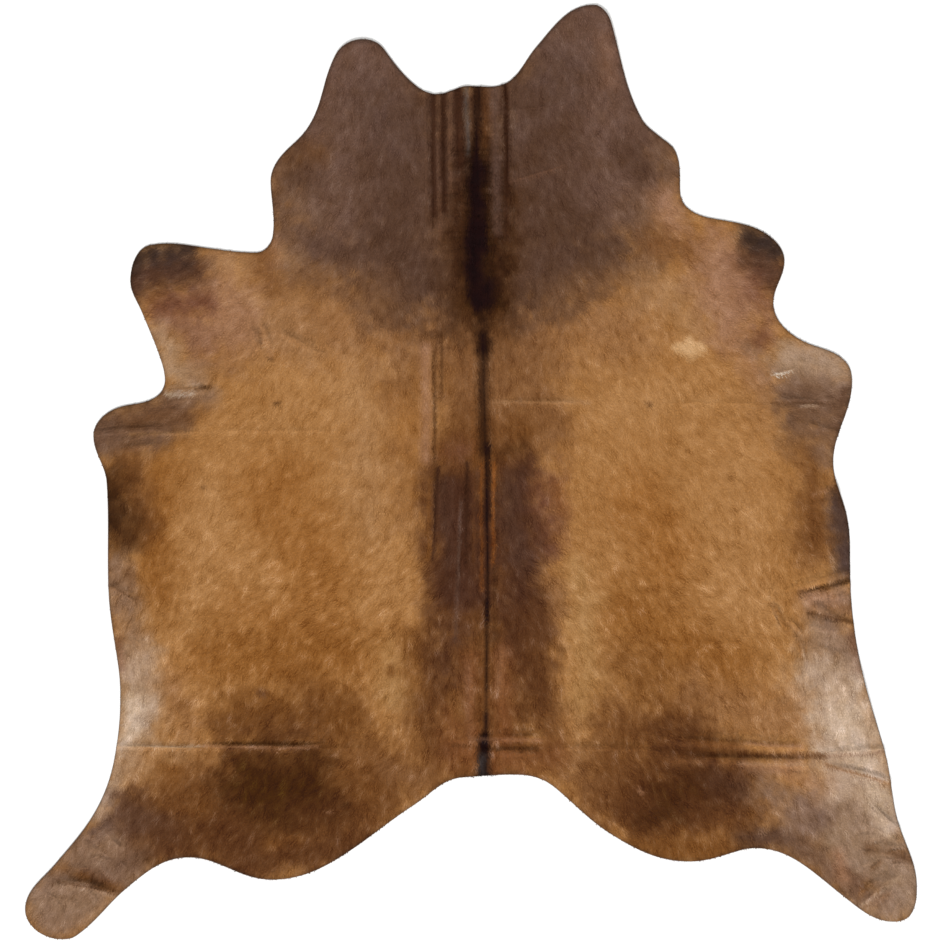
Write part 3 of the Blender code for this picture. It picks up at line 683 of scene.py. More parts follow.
    StainOrPaintedLight("right belly", "fawn", 834, 684, 862, 800, 180, 120, 0.95),
    StainOrPaintedLight("right belly, upper glow", "beige", 812, 628, 816, 634, 20, 40, 0.7),
    StainOrPaintedLight("right belly, cream", "cream", 842, 712, 868, 772, 90, 90, 0.9),
    StainOrPaintedLight("right thigh, upper cream", "cream", 808, 714, 826, 730, 30, 50, 0.7),
    StainOrPaintedLight("right belly, dark edge", "redBrown", 852, 636, 858, 668, 12, 36, 0.65),
    StainOrPaintedLight("right belly, pale rim", "cream", 852, 662, 862, 704, 24, 40, 0.55),
    StainOrPaintedLight("right belly, upper rim grey", "mouse", 846, 646, 853, 666, 30, 50, 0.6),
    StainOrPaintedLight("right thigh, beige", "fawn", 838, 784, 884, 815, 120, 90, 0.95),
    StainOrPaintedLight("right thigh, cream", "cream", 866, 765, 880, 802, 40, 70, 0.75),
    StainOrPaintedLight("right thigh, pale rim", "cream", 882, 796, 888, 822, 40, 60, 0.85),
    # the saddle
    StainOrPaintedLight("saddle field", "chestnut", 480, 450, 486, 760, 200, 130, 0.9),
    StainOrPaintedLight("saddle, left", "saddle", 456, 490, 457, 600, 120, 80, 1),
    StainOrPaintedLight("saddle, left cap", "redBrown", 450, 452, 462, 448, 30, 60, 0.6),
    StainOrPaintedLight("saddle, left fringe", "darkRust", 427, 470, 427, 604, 30, 80, 0.78),
    StainOrPaintedLight("saddle, left tail", "darkRust", 432, 630, 436, 700, 60, 90, 0.85),
    StainOrPaintedLight("saddle, left low", "saddle", 458, 600, 450, 670, 60, 100, 0.6),
    StainOrPaintedLight("saddle, left rust", "rust", 407, 640, 410, 692, 50, 90, 0.85),
    StainOrPaintedLight("left of the spine, lower", "russet", 472, 655, 472, 735, 30, 60, 0.7),
    StainOrPaintedLight("saddle, middle", "saddle", 484, 510, 486, 590, 50, 70, 0.9),
    StainOrPaintedLight("saddle, right", "saddle", 520, 478, 522, 640, 110, 110, 0.97),
    StainOrPaintedLight("saddle, right lower", "darkRust", 530, 620, 536, 700, 90, 90, 0.9),
    StainOrPaintedLight("saddle, right fringe", "redBrown", 546, 486, 549, 545, 48, 100, 0.8),
    StainOrPaintedLight("saddle, right far fringe", "russet", 558, 484, 562, 508, 24, 40, 0.6),
    StainOrPaintedLight("saddle, right notch", "tan", 553, 580, 557, 616, 34, 50, 0.8),
    StainOrPaintedLight("saddle, left low rust", "rust", 444, 612, 474, 614, 30, 60, 0.55),
    StainOrPaintedLight("saddle, right cap", "umber", 500, 450, 522, 444, 20, 50, 0.7),
    StainOrPaintedLight("beside the spine, pale right", "tan", 499, 395, 499, 442, 10, 36, 0.6),
    # Plum on the saddle: partly the dark hair's own colour, partly its sheen painted in
    StainOrPaintedLight("saddle, left violet", "plum", 444, 480, 448, 560, 20, 40, 0.5),
    StainOrPaintedLight("saddle, right violet", "plum", 508, 482, 520, 560, 40, 70, 0.6),
    StainOrPaintedLight("right of the spine, lower", "russet", 500, 655, 505, 735, 40, 50, 0.8),
    StainOrPaintedLight("left of the tail", "chestnut", 420, 715, 430, 765, 70, 90, 0.85),
    StainOrPaintedLight("right of the tail", "chestnut", 548, 720, 552, 765, 60, 90, 0.85),
    StainOrPaintedLight("left flank, rusty mid", "chestnut", 300, 670, 345, 710, 80, 120, 0.75),
    # pale gold beside the saddle
    StainOrPaintedLight("pale gold, left", "paleGold", 392, 556, 394, 590, 50, 100, 0.5),
    StainOrPaintedLight("pale gold, lower left", "straw", 384, 650, 398, 700, 50, 80, 0.8),
    StainOrPaintedLight("pale gold, left foot", "paleGold", 386, 725, 384, 750, 20, 70, 0.5),
    StainOrPaintedLight("pale gold, right", "straw", 582, 570, 586, 700, 60, 90, 0.85),
    StainOrPaintedLight("pale gold, right low", "straw", 584, 700, 586, 712, 30, 80, 0.6),
    StainOrPaintedLight("right haunch, upper", "chestnut", 640, 752, 700, 752, 40, 90, 0.8),
    StainOrPaintedLight("pale gold, right foot", "sand", 578, 720, 576, 765, 20, 70, 0.7),
    # flanks above the packing fold
    StainOrPaintedLight("left flank, rusty", "rustGold", 220, 655, 350, 650, 120, 130, 0.95),
    StainOrPaintedLight("left flank, rusty lower", "rust", 240, 720, 345, 720, 120, 140, 0.9),
    StainOrPaintedLight("left flank, tan", "tan", 170, 680, 188, 722, 60, 80, 0.8),
    StainOrPaintedLight("right flank, rusty", "chestnut", 620, 722, 684, 724, 100, 130, 0.95),
    StainOrPaintedLight("right flank, rusty left", "rust", 622, 664, 660, 682, 80, 120, 0.8),
    # Painted shade above the packing fold
    StainOrPaintedLight("right flank, fold shade", "darkRust", 652, 730, 706, 738, 40, 80, 0.75),
    StainOrPaintedLight("above the fold, left dark", "darkRust", 226, 730, 306, 726, 40, 90, 0.65),
    StainOrPaintedLight("above the fold, low dark", "darkRust", 274, 736, 312, 736, 30, 40, 0.6),
    # tail
    StainOrPaintedLight("tail, red", "russet", 448, 750, 548, 756, 60, 80, 0.85),
    StainOrPaintedLight("tail, left", "russet", 448, 715, 452, 745, 40, 60, 0.7),
    StainOrPaintedLight("saddle, left foot", "darkRust", 430, 704, 436, 724, 40, 70, 0.55),
    StainOrPaintedLight("tail, left pale", "brick", 468, 660, 470, 735, 10, 30, 0.6),
    StainOrPaintedLight("tail, left shade", "darkRust", 428, 746, 446, 750, 30, 60, 0.5),
    StainOrPaintedLight("tail, right shade", "chestnut", 524, 752, 544, 754, 30, 50, 0.6),
    StainOrPaintedLight("tail, right pale", "clay", 500, 655, 497, 690, 14, 40, 0.6),
    # haunches
    StainOrPaintedLight("left haunch", "chestnut", 180, 815, 360, 792, 240, 120, 0.95),
    StainOrPaintedLight("left haunch, deep", "deepUmber", 256, 788, 304, 796, 150, 120, 1),
    StainOrPaintedLight("left haunch, trailing", "darkRust", 305, 814, 345, 810, 60, 90, 0.65),
    StainOrPaintedLight("left haunch, rusty tail side", "rust", 356, 796, 380, 790, 30, 60, 0.6),
    StainOrPaintedLight("left haunch, low dark", "darkRust", 215, 822, 245, 834, 70, 80, 0.8),
    StainOrPaintedLight("left haunch, tail side", "ochre", 340, 770, 410, 760, 60, 100, 0.5),
    StainOrPaintedLight("left haunch, above", "deepUmber", 262, 754, 322, 756, 40, 80, 0.7),
    StainOrPaintedLight("left haunch, gold", "rustGold", 160, 764, 176, 772, 40, 70, 0.5),
    StainOrPaintedLight("haunch, left low dark", "darkRust", 312, 704, 330, 738, 30, 60, 0.35),
    StainOrPaintedLight("left haunch, orange", "rust", 198, 800, 206, 812, 30, 60, 0.6),
    StainOrPaintedLight("left haunch, outer dark", "darkBrown", 128, 808, 168, 838, 90, 80, 0.8),
    StainOrPaintedLight("left haunch, plum", "darkRust", 170, 844, 240, 852, 90, 80, 0.7),
    StainOrPaintedLight("left haunch, lower gold", "rustGold", 272, 846, 300, 846, 30, 60, 0.7),
    StainOrPaintedLight("left haunch, rim", "darkRust", 240, 866, 356, 846, 80, 70, 0.85),
    StainOrPaintedLight("left haunch, inner gold", "goldenBrown", 385, 770, 415, 775, 50, 90, 0.8),
    StainOrPaintedLight("right haunch", "chestnut", 615, 785, 730, 805, 190, 130, 0.95),
    StainOrPaintedLight("right haunch, deep", "darkRust", 650, 808, 720, 784, 140, 120, 1),
    StainOrPaintedLight("right haunch, core", "deepUmber", 668, 796, 700, 784, 70, 110, 0.7),
    StainOrPaintedLight("right haunch, low deep", "deepUmber", 648, 818, 668, 814, 40, 70, 0.6),
    StainOrPaintedLight("right haunch, upper deep", "darkRust", 664, 748, 704, 756, 50, 80, 0.85),
    StainOrPaintedLight("right haunch, inner gold", "goldenBrown", 580, 778, 600, 790, 50, 80, 0.6),
    StainOrPaintedLight("right haunch, gold", "rustGold", 676, 850, 700, 848, 30, 50, 0.6),
    StainOrPaintedLight("right haunch, clay", "mouse", 764, 790, 792, 800, 70, 90, 0.85),
    # Plum and violet on the right haunch: partly the dark hair's own colour, partly its sheen painted in
    StainOrPaintedLight("right haunch, plum", "plum", 744, 838, 796, 836, 50, 60, 0.9),
    StainOrPaintedLight("right haunch, violet", "darkBrown", 714, 780, 736, 786, 50, 70, 0.6),
    StainOrPaintedLight("right haunch, rim", "rust", 640, 846, 740, 856, 60, 70, 0.8),
    StainOrPaintedLight("right foreleg, edge", "brick", 768, 300, 772, 318, 20, 50, 0.6),
    # legs
    StainOrPaintedLight("left leg, dark", "darkMouse", 66, 872, 110, 880, 30, 50, 0.5),
    # Violet on the left leg: partly the hair's own colour, partly its sheen painted in
    StainOrPaintedLight("left leg, violet", "darkMouse", 122, 862, 140, 852, 40, 60, 0.8),
    StainOrPaintedLight("left foot", "footClay", 40, 902, 96, 906, 60, 70, 0.7),
    StainOrPaintedLight("left leg, grey", "greyBrown", 92, 832, 106, 822, 30, 40, 0.6),
    StainOrPaintedLight("left leg, pale patch", "footClay", 100, 852, 118, 842, 30, 40, 0.6),
    StainOrPaintedLight("left leg, ochre", "ochre", 52, 868, 66, 866, 20, 30, 0.6),
    StainOrPaintedLight("left leg, band dark", "darkRust", 86, 874, 112, 884, 24, 30, 0.7),
    StainOrPaintedLight("left leg, band rust", "rust", 104, 886, 124, 888, 18, 30, 0.6),
    StainOrPaintedLight("left leg, ochre band", "ochre", 76, 873, 88, 877, 14, 24, 0.6),
    StainOrPaintedLight("left leg, shade", "darkClay", 104, 848, 124, 850, 24, 40, 0.5),
    # Painted highlight on the left leg's ridge and painted shadow beside it
    StainOrPaintedLight("left leg, ridge light", "beige", 62, 880, 84, 883, 5, 7, 0.6),
    StainOrPaintedLight("left leg, ridge dark", "umber", 52, 882, 66, 884, 5, 7, 0.6),
    StainOrPaintedLight("left haunch, pale patch", "goldenBrown", 140, 842, 148, 840, 20, 40, 0.6),
    StainOrPaintedLight("left haunch, dark heel", "umber", 146, 858, 154, 862, 14, 30, 0.6),
    StainOrPaintedLight("right thigh", "taupe", 806, 818, 848, 832, 100, 90, 0.95),
    # Violet on the right thigh: partly the hair's own colour, partly its sheen painted in
    StainOrPaintedLight("right thigh, violet", "darkMouse", 815, 815, 850, 824, 20, 50, 0.5),
    StainOrPaintedLight("right thigh, violet left", "greyBrown", 822, 818, 842, 814, 30, 50, 0.5),
    StainOrPaintedLight("right thigh, violet right", "greyBrown", 846, 828, 850, 826, 14, 24, 0.6),
    StainOrPaintedLight("right thigh, clay", "clay", 786, 766, 815, 782, 40, 80, 0.6),
    StainOrPaintedLight("right leg", "hoofClay", 862, 840, 888, 880, 190, 80, 1),
    StainOrPaintedLight("right leg, pale", "beige", 868, 830, 888, 835, 20, 50, 0.5),
    StainOrPaintedLight("right leg, inner", "darkMouse", 800, 846, 856, 888, 60, 50, 0.85),
    StainOrPaintedLight("right foot", "darkClay", 860, 884, 884, 902, 50, 60, 0.9),
    StainOrPaintedLight("right leg, dark", "darkBrown", 850, 872, 860, 888, 14, 40, 0.6),
    StainOrPaintedLight("right heel, mottle", "darkRust", 868, 846, 908, 858, 20, 36, 0.6),
    StainOrPaintedLight("right thigh, outer pale", "cream", 874, 802, 886, 826, 40, 50, 0.75),
    StainOrPaintedLight("right leg, pale patch", "clay", 838, 856, 843, 876, 30, 40, 0.85),
    StainOrPaintedLight("right foot, pale patch", "sand", 868, 882, 876, 890, 16, 26, 0.75),
    StainOrPaintedLight("right foot, orange", "ochre", 860, 894, 866, 884, 8, 14, 0.6),
    # Painted shade in the crinkles of the right foot and heel
    StainOrPaintedLight("right foot, dark curl", "goldenBrown", 882, 898, 888, 894, 10, 16, 0.6),
    StainOrPaintedLight("heel, dark squiggle", "goldenBrown", 884, 852, 905, 850, 6, 10, 0.6),
    StainOrPaintedLight("heel, second squiggle", "goldenBrown", 870, 868, 880, 861, 6, 10, 0.6),
    StainOrPaintedLight("right foot, end", "hoofClay", 888, 908, 902, 892, 40, 50, 0.7),
    StainOrPaintedLight("heel, pale", "beige", 872, 834, 886, 856, 24, 40, 0.5),
    # the spine
    StainOrPaintedLight("spine, neck shade", "darkRust", 480, 95, 484, 150, 40, 60, 0.8),
    StainOrPaintedLight("spine, neck shade low", "umber", 480, 150, 484, 300, 80, 90, 0.9),
    StainOrPaintedLight("spine V, wide", "umber", 478, 205, 482, 302, 160, 120, 0.95),
    StainOrPaintedLight("spine V, soft", "ink", 480, 170, 484, 292, 60, 90, 0.9),
    StainOrPaintedLight("spine V, core", "ink", 473, 165, 475, 300, 26, 46, 0.9),
    StainOrPaintedLight("spine V, left side", "pleat", 457, 176, 457, 282, 16, 40, 0.65),
    StainOrPaintedLight("spine V, right side", "pleat", 500, 180, 500, 290, 12, 40, 0.6),
    StainOrPaintedLight("spine, neck line", "ink", 477, 88, 476, 175, 18, 22, 0.9),
    # A steel-grey streak of painted sheen on the dark neck hair
    StainOrPaintedLight("spine streak", "steel", 466, 88, 468, 155, 8, 12, 0.6),
    StainOrPaintedLight("spine, shoulder", "ink", 481, 300, 482, 350, 20, 44, 0.75),
    StainOrPaintedLight("spine, back", "ink", 483, 336, 484, 452, 16, 28, 0.85),
    StainOrPaintedLight("spine, saddle", "ink", 487, 445, 488, 520, 12, 14, 1),
    StainOrPaintedLight("spine, loin", "ink", 488, 510, 487, 620, 7, 9, 0.92),
    StainOrPaintedLight("spine, rump", "ink", 487, 600, 486, 688, 7, 14, 0.85),
    StainOrPaintedLight("spine, low rump", "ink", 486, 688, 486, 718, 6, 12, 0.6),
    StainOrPaintedLight("spine, tail neck", "ink", 486, 715, 486, 742, 12, 16, 0.9),
    StainOrPaintedLight("spine, tail root", "ink", 484, 738, 484, 772, 28, 20, 0.93),
    StainOrPaintedLight("spine, tail shine", "steel", 482, 756, 482, 774, 18, 16, 0.5),
    StainOrPaintedLight("orange stripe, left", "orange", 481, 462, 482, 590, 5, 8, 0.55),
    StainOrPaintedLight("orange stripe, right", "orange", 494, 462, 493, 562, 6, 9, 0.7),
    StainOrPaintedLight("orange stripe, faded", "umber", 495, 566, 494, 640, 8, 12, 0.5),
    # pleats and creases: partly the hair's own colour, partly painted shade in their hollows and painted
    # highlights on their ridges
    StainOrPaintedLight("left pleat, dark", "pleat", 433, 88, 434, 215, 12, 12, 0.9),
    StainOrPaintedLight("left pleat, pale", "brick", 439, 92, 440, 240, 5, 8, 0.25),
    StainOrPaintedLight("left pleat, red", "pleat", 443, 88, 444, 210, 14, 12, 0.85),
    StainOrPaintedLight("left pleat, pale inner", "brick", 450, 92, 450, 190, 5, 9, 0.45),
    StainOrPaintedLight("left pleat, umber", "pleat", 458, 90, 459, 165, 22, 14, 0.95),
    StainOrPaintedLight("right pleat, red", "deepPleat", 506, 86, 507, 195, 10, 12, 1),
    StainOrPaintedLight("right pleat, lower", "pleat", 507, 180, 507, 240, 8, 14, 0.8),
    StainOrPaintedLight("right pleat, pale", "greyBrown", 494, 90, 498, 230, 24, 20, 0.7),
    StainOrPaintedLight("pink band", "clay", 426, 346, 426, 458, 22, 24, 0.75),
    StainOrPaintedLight("left crease, upper", "umber", 434, 350, 435, 480, 6, 9, 0.7),
    StainOrPaintedLight("left crease, second", "umber", 442, 330, 442, 400, 5, 8, 0.55),
    StainOrPaintedLight("left crease, saddle", "pleat", 438, 468, 436, 513, 8, 8, 0.95),
    StainOrPaintedLight("left crease, lower", "pleat", 436, 513, 433, 560, 7, 8, 0.85),
    StainOrPaintedLight("left crease, orange", "rust", 430, 478, 428, 560, 7, 10, 0.7),
    StainOrPaintedLight("second crease", "pleat", 467, 462, 466, 562, 8, 9, 0.85),
    StainOrPaintedLight("second crease, glow", "rust", 474, 455, 474, 560, 5, 8, 0.4),
    StainOrPaintedLight("pale ridge", "greyBrown", 461, 500, 458, 575, 6, 8, 0.85),
    StainOrPaintedLight("pale ridge, lower", "greyBrown", 458, 575, 456, 640, 7, 10, 0.6),
    StainOrPaintedLight("tail, brown marks", "umber", 452, 744, 476, 745, 6, 9, 0.5),
    StainOrPaintedLight("fold, pale far left", "cream", 118, 745, 204, 746, 5, 7, 0.6),
    StainOrPaintedLight("fold, pale left", "clay", 204, 746, 318, 747, 6, 8, 0.7),
    StainOrPaintedLight("fold, dark left", "umber", 205, 743, 318, 743, 4, 7, 0.7),
    StainOrPaintedLight("fold, pale tail", "brick", 470, 738, 540, 739, 7, 10, 0.6),
    StainOrPaintedLight("fold, brown tail", "umber", 492, 747, 536, 748, 10, 13, 0.6),
    StainOrPaintedLight("fold, faint right", "umber", 548, 747, 660, 748, 4, 9, 0.25),
    StainOrPaintedLight("fold, dark right", "darkRust", 655, 748, 745, 753, 14, 16, 0.75),
    StainOrPaintedLight("fold, upper shade", "chestnut", 696, 743, 734, 746, 22, 20, 0.85),
    StainOrPaintedLight("fold, dark far right", "darkRust", 740, 754, 825, 755, 12, 13, 0.72),
    StainOrPaintedLight("fold, highlight", "clay", 744, 742, 800, 746, 7, 9, 0.7),
    StainOrPaintedLight("fold, highlight end", "cream", 812, 748, 832, 750, 6, 8, 0.6),
    StainOrPaintedLight("fold, lower light", "beige", 738, 763, 822, 764, 6, 9, 0.45),
    StainOrPaintedLight("below the fold, pale right", "clay", 745, 767, 788, 769, 16, 40, 0.5),
    StainOrPaintedLight("fork, upper", "mouse", 826, 756, 884, 751, 6, 8, 0.75),
    StainOrPaintedLight("fork, lower", "goldenBrown", 826, 764, 892, 784, 6, 8, 0.75),
    StainOrPaintedLight("cross crease, right", "sand", 496, 402, 590, 402, 7, 10, 0.55),
    StainOrPaintedLight("cross crease, left", "paleGold", 130, 434, 340, 431, 6, 10, 0.45),
    StainOrPaintedLight("scratch", "brick", 510, 182, 565, 166, 4, 6, 0.35),
    # small marks
    StainOrPaintedLight("whitish hair, left", "white", 168, 394, 194, 393, 9, 14, 0.55),
    StainOrPaintedLight("whitish hair, left brow", "beige", 170, 386, 200, 384, 5, 8, 0.6),
    # Painted shade in the left armpit's crease
    StainOrPaintedLight("dark line, left armpit", "umber", 196, 390, 212, 386, 6, 9, 0.6),
    StainOrPaintedLight("white streak, right", "white", 773, 374, 782, 373, 4, 6, 0.9),
    StainOrPaintedLight("white streak, right tip", "white", 783, 373, 791, 370, 3, 5, 0.8),
    StainOrPaintedLight("star", "star", 680, 348, 698, 348, 34, 14, 0.85),
    StainOrPaintedLight("star, upright", "star", 688, 340, 690, 356, 24, 14, 0.85),
    StainOrPaintedLight("star, left point", "star", 672, 346, 680, 347, 12, 10, 0.9),
    StainOrPaintedLight("spot under the shoulder", "umber", 647, 403, 650, 404, 7, 10, 0.6),
    StainOrPaintedLight("spot, left flank", "umber", 276, 403, 280, 401, 8, 10, 0.6),
    StainOrPaintedLight("spot, left shoulder", "umber", 270, 359, 271, 359, 6, 8, 0.8),
    StainOrPaintedLight("spot, left ribs", "umber", 203, 485, 205, 487, 7, 10, 0.5),
    StainOrPaintedLight("knot, left haunch", "darkRust", 261, 691, 264, 693, 18, 14, 0.8),
    StainOrPaintedLight("smudge, left haunch", "rust", 184, 702, 188, 704, 16, 22, 0.7),
    StainOrPaintedLight("spot, left rump", "umber", 344, 804, 348, 804, 12, 14, 0.6),
    StainOrPaintedLight("spot, right ribs", "rust", 687, 450, 688, 450, 9, 10, 0.6),
    StainOrPaintedLight("spot, right flank", "rust", 728, 477, 732, 479, 8, 10, 0.5),
    StainOrPaintedLight("fleck, left rump", "clay", 327, 810, 331, 811, 6, 8, 0.7),
    StainOrPaintedLight("fleck, left thigh", "straw", 169, 757, 171, 759, 6, 8, 0.8),
    StainOrPaintedLight("fleck, right rump", "clay", 638, 789, 643, 792, 8, 8, 0.8),
    StainOrPaintedLight("diamond", "rust", 391, 668, 391, 673, 20, 12, 0.7),
    # Painted shade in the creases of the right elbow and belly, and painted highlights on their ridges
    StainOrPaintedLight("elbow fold, right", "umber", 770, 403, 823, 403, 5, 8, 0.5),
    StainOrPaintedLight("elbow fold, pale", "cream", 802, 406, 815, 406, 5, 7, 0.6),
    StainOrPaintedLight("belly crease, upper", "umber", 800, 592, 848, 580, 8, 10, 0.7),
    StainOrPaintedLight("belly crease, nick", "clay", 812, 494, 832, 488, 5, 8, 0.5),
    StainOrPaintedLight("belly crease, middle", "umber", 808, 612, 852, 622, 8, 10, 0.65),
    StainOrPaintedLight("belly ridge", "sand", 772, 603, 779, 629, 6, 8, 0.5),
    StainOrPaintedLight("belly ridge, lower", "sand", 785, 620, 802, 633, 6, 8, 0.4),
    StainOrPaintedLight("belly arc", "paleGold", 768, 598, 778, 618, 7, 9, 0.6),
    StainOrPaintedLight("belly arc, shade", "ochre", 774, 606, 788, 633, 7, 10, 0.6),
    StainOrPaintedLight("belly twig", "ochre", 798, 641, 802, 658, 5, 8, 0.6),
    StainOrPaintedLight("belly twig, second", "ochre", 805, 646, 807, 658, 4, 8, 0.5),
    StainOrPaintedLight("belly, brown patch", "goldenBrown", 832, 608, 850, 606, 16, 24, 0.6),
    # Painted shade in a left belly crease, painted shadow above the left leg's ridge, and painted
    # highlights on the leg ridges
    StainOrPaintedLight("left belly crease", "umber", 111, 585, 136, 600, 5, 9, 0.5),
    StainOrPaintedLight("leg ridge, left dark", "umber", 60, 880, 116, 890, 7, 9, 0.6),
    StainOrPaintedLight("leg ridge, left pale", "beige", 56, 883, 113, 895, 6, 8, 0.55),
    StainOrPaintedLight("leg ridge, right pale", "cream", 861, 905, 901, 874, 6, 9, 0.5),
)

colouring = {
    "warpCell": 0.06,     # how far apart the marks' edges wander
    "warpLeast": 0.0025,  # metres, on the narrowest stains
    "warpShare": 0.40,    # of what a stain's softness has over the next value
    "warpFrom": 0.030,
    "warpMost": 0.100,
    "raggedCell": 0.018,
    "ragged": 0.24,
    "sharpBelow": 0.030,  # softness under which a mark keeps an even edge
    "mottleCell": 0.040,
    "speckleCell": 0.011,
    "speckle": 0.45,      # against the broader mottling
    "lineSoft": 12,       # millimetres of softness up to which a mark counts as a line
    "mottle": (0.10, 0.145, 0.24),  # how much red, green and blue rise and fall
    "maskReach": 1.3,     # of its softness, outside which a mark is nought
    "leastSquare": 1e-9,  # of a mark's length, so that a round one has a run too
    # The painted shade along the cut rim: its width, its strength, and how it eases on paler hair
    "rimBand": 0.0050,
    "rimShade": 0.80,
    "rimPower": 3,        # how fast the painted shade along the rim goes as the hair gets paler
    "darkest": 0.0005,
    "haze": (0.002, 0.004, 0.0045),  # what the coat's gloss adds, and below it what the lights give
    "gain": 0.845,
}


def stainOrLightMask(stainOrLight, x, y, warpX, warpY, ragged):
    x1, y1 = onFloor(stainOrLight.x1, stainOrLight.y1)
    x2, y2 = onFloor(stainOrLight.x2, stainOrLight.y2)
    width = stainOrLight.width / millimetres
    soft = stainOrLight.soft / millimetres
    broad = max(0, min(soft, colouring["warpMost"]) - colouring["warpFrom"])
    shift = colouring["warpLeast"] + broad * colouring["warpShare"]
    reach = width / 2 + soft * colouring["maskReach"] + shift
    inX = (x > min(x1, x2) - reach) & (x < max(x1, x2) + reach)
    inY = (y > min(y1, y2) - reach) & (y < max(y1, y2) + reach)
    near = np.flatnonzero(inX & inY)
    fromX = x[near] + warpX[near] * shift - x1
    fromY = y[near] + warpY[near] * shift - y1
    square = max((x2 - x1) ** 2 + (y2 - y1) ** 2, colouring["leastSquare"])
    run = np.clip((fromX * (x2 - x1) + fromY * (y2 - y1)) / square, 0, 1)
    away = np.hypot(fromX - run * (x2 - x1), fromY - run * (y2 - y1))
    inside = 0.5 + (width / 2 - away) / soft
    if soft > colouring["sharpBelow"]:
        inside = inside + ragged[near]
    return near, stainOrLight.strength * softStep(inside)


def placeTree(places):
    tree = KDTree(len(places))
    for index, place in enumerate(places):
        tree.insert(place.to_3d(), index)
    tree.balance()
    return tree


def rimDistance(tree, x, y):
    return np.array([tree.find((px, py, 0))[2] for px, py in zip(x, y)])


def paintedRimShade(colour, distance):
    # Painted shade along the cut: a dark line, which hardly shows on the pale belly
    near = 1 - softStep(distance / colouring["rimBand"])
    darkness = (1 - colour.mean(1)) ** colouring["rimPower"]
    return (1 - darkness * colouring["rimShade"] * near)[:, None]


def coatColour(x, y):
    warpX = layeredNoise(x, y, colouring["warpCell"], seeds["warpX"])
    warpY = layeredNoise(x, y, colouring["warpCell"], seeds["warpY"])
    ragged = colouring["ragged"] * layeredNoise(x, y, colouring["raggedCell"], seeds["ragged"])
    colour = np.tile(np.array(tints["gold"], float), (len(x), 1))
    for stainOrLight in stainsAndPaintedLight:
        near, mask = stainOrLightMask(stainOrLight, x, y, warpX, warpY, ragged)
        mask = mask[:, None]
        colour[near] = colour[near] * (1 - mask) + np.array(tints[stainOrLight.tint]) * mask
    share = colouring["speckle"]
    mottle = (1 - share) * layeredNoise(x, y, colouring["mottleCell"], seeds["mottle"])
    mottle += share * layeredNoise(x, y, colouring["speckleCell"], seeds["speckle"])
    seen = linearFrom(colour * (1 + mottle[:, None] * colouring["mottle"]))
    return np.clip((seen - colouring["haze"]) * colouring["gain"], colouring["darkest"], 1)


def lineMask(x, y):
    # Where a narrow, sharp mark lies, a thin stain or a line of painted shade or highlight: locks are
    # kept short there
    still = np.zeros(len(x))
    lines = np.zeros(len(x))
    for stainOrLight in stainsAndPaintedLight:
        if stainOrLight.soft <= colouring["lineSoft"]:
            near, mask = stainOrLightMask(stainOrLight, x, y, still, still, still)
            lines[near] = np.maximum(lines[near], mask)
    return lines


def linearFrom(seen):
    share = np.clip(np.asarray(seen, float) / 255, 0, 1)
    return np.where(share <= 0.04045, share / 12.92, ((share + 0.055) / 1.055) ** displayPower)


# The comb: which way the hair lies on the right half, in degrees; the left half mirrors it
Comb = namedtuple("Comb", "name x y heading")

combs = (
    Comb("neck, middle", 0.03, 0.85, -88),
    Comb("neck, low", 0.03, 0.50, -86),
    Comb("neck flap", 0.29, 1.00, -80),
    Comb("neck side", 0.35, 0.72, -66),
    Comb("shoulder", 0.35, 0.42, -60),
    Comb("foreleg", 0.62, 0.50, -32),
    Comb("foreleg tip", 0.74, 0.46, -18),
    Comb("elbow", 0.72, 0.22, -36),
    Comb("elbow tip", 0.88, 0.20, -24),
    Comb("withers", 0.06, 0.25, -84),
    Comb("back", 0.06, -0.10, -84),
    Comb("loin", 0.06, -0.45, -84),
    Comb("beside the saddle", 0.22, -0.25, -40),
    Comb("ribs", 0.42, 0.12, -56),
    Comb("flank", 0.50, -0.25, -48),
    Comb("belly", 0.84, -0.10, -72),
    Comb("low belly", 0.90, -0.50, -82),
    Comb("rump", 0.20, -0.66, -66),
    Comb("haunch", 0.52, -0.75, -58),
    Comb("thigh", 0.80, -0.75, -62),
    Comb("hind leg", 0.96, -0.95, -60),
    Comb("tail", 0.04, -0.72, -88),
)
combSoftness = 0.05  # metres around a place within which its heading hardly changes


def combHeading(x, y):
    eastward = np.zeros(len(x))
    northward = np.zeros(len(x))
    for comb in combs:
        for side in (1, -1):
            pull = 1 / ((x - side * comb.x) ** 2 + (y - comb.y) ** 2 + combSoftness ** 2) ** 2
            eastward += pull * side * cos(radians(comb.heading))
            northward += pull * sin(radians(comb.heading))
    return np.arctan2(northward, eastward)


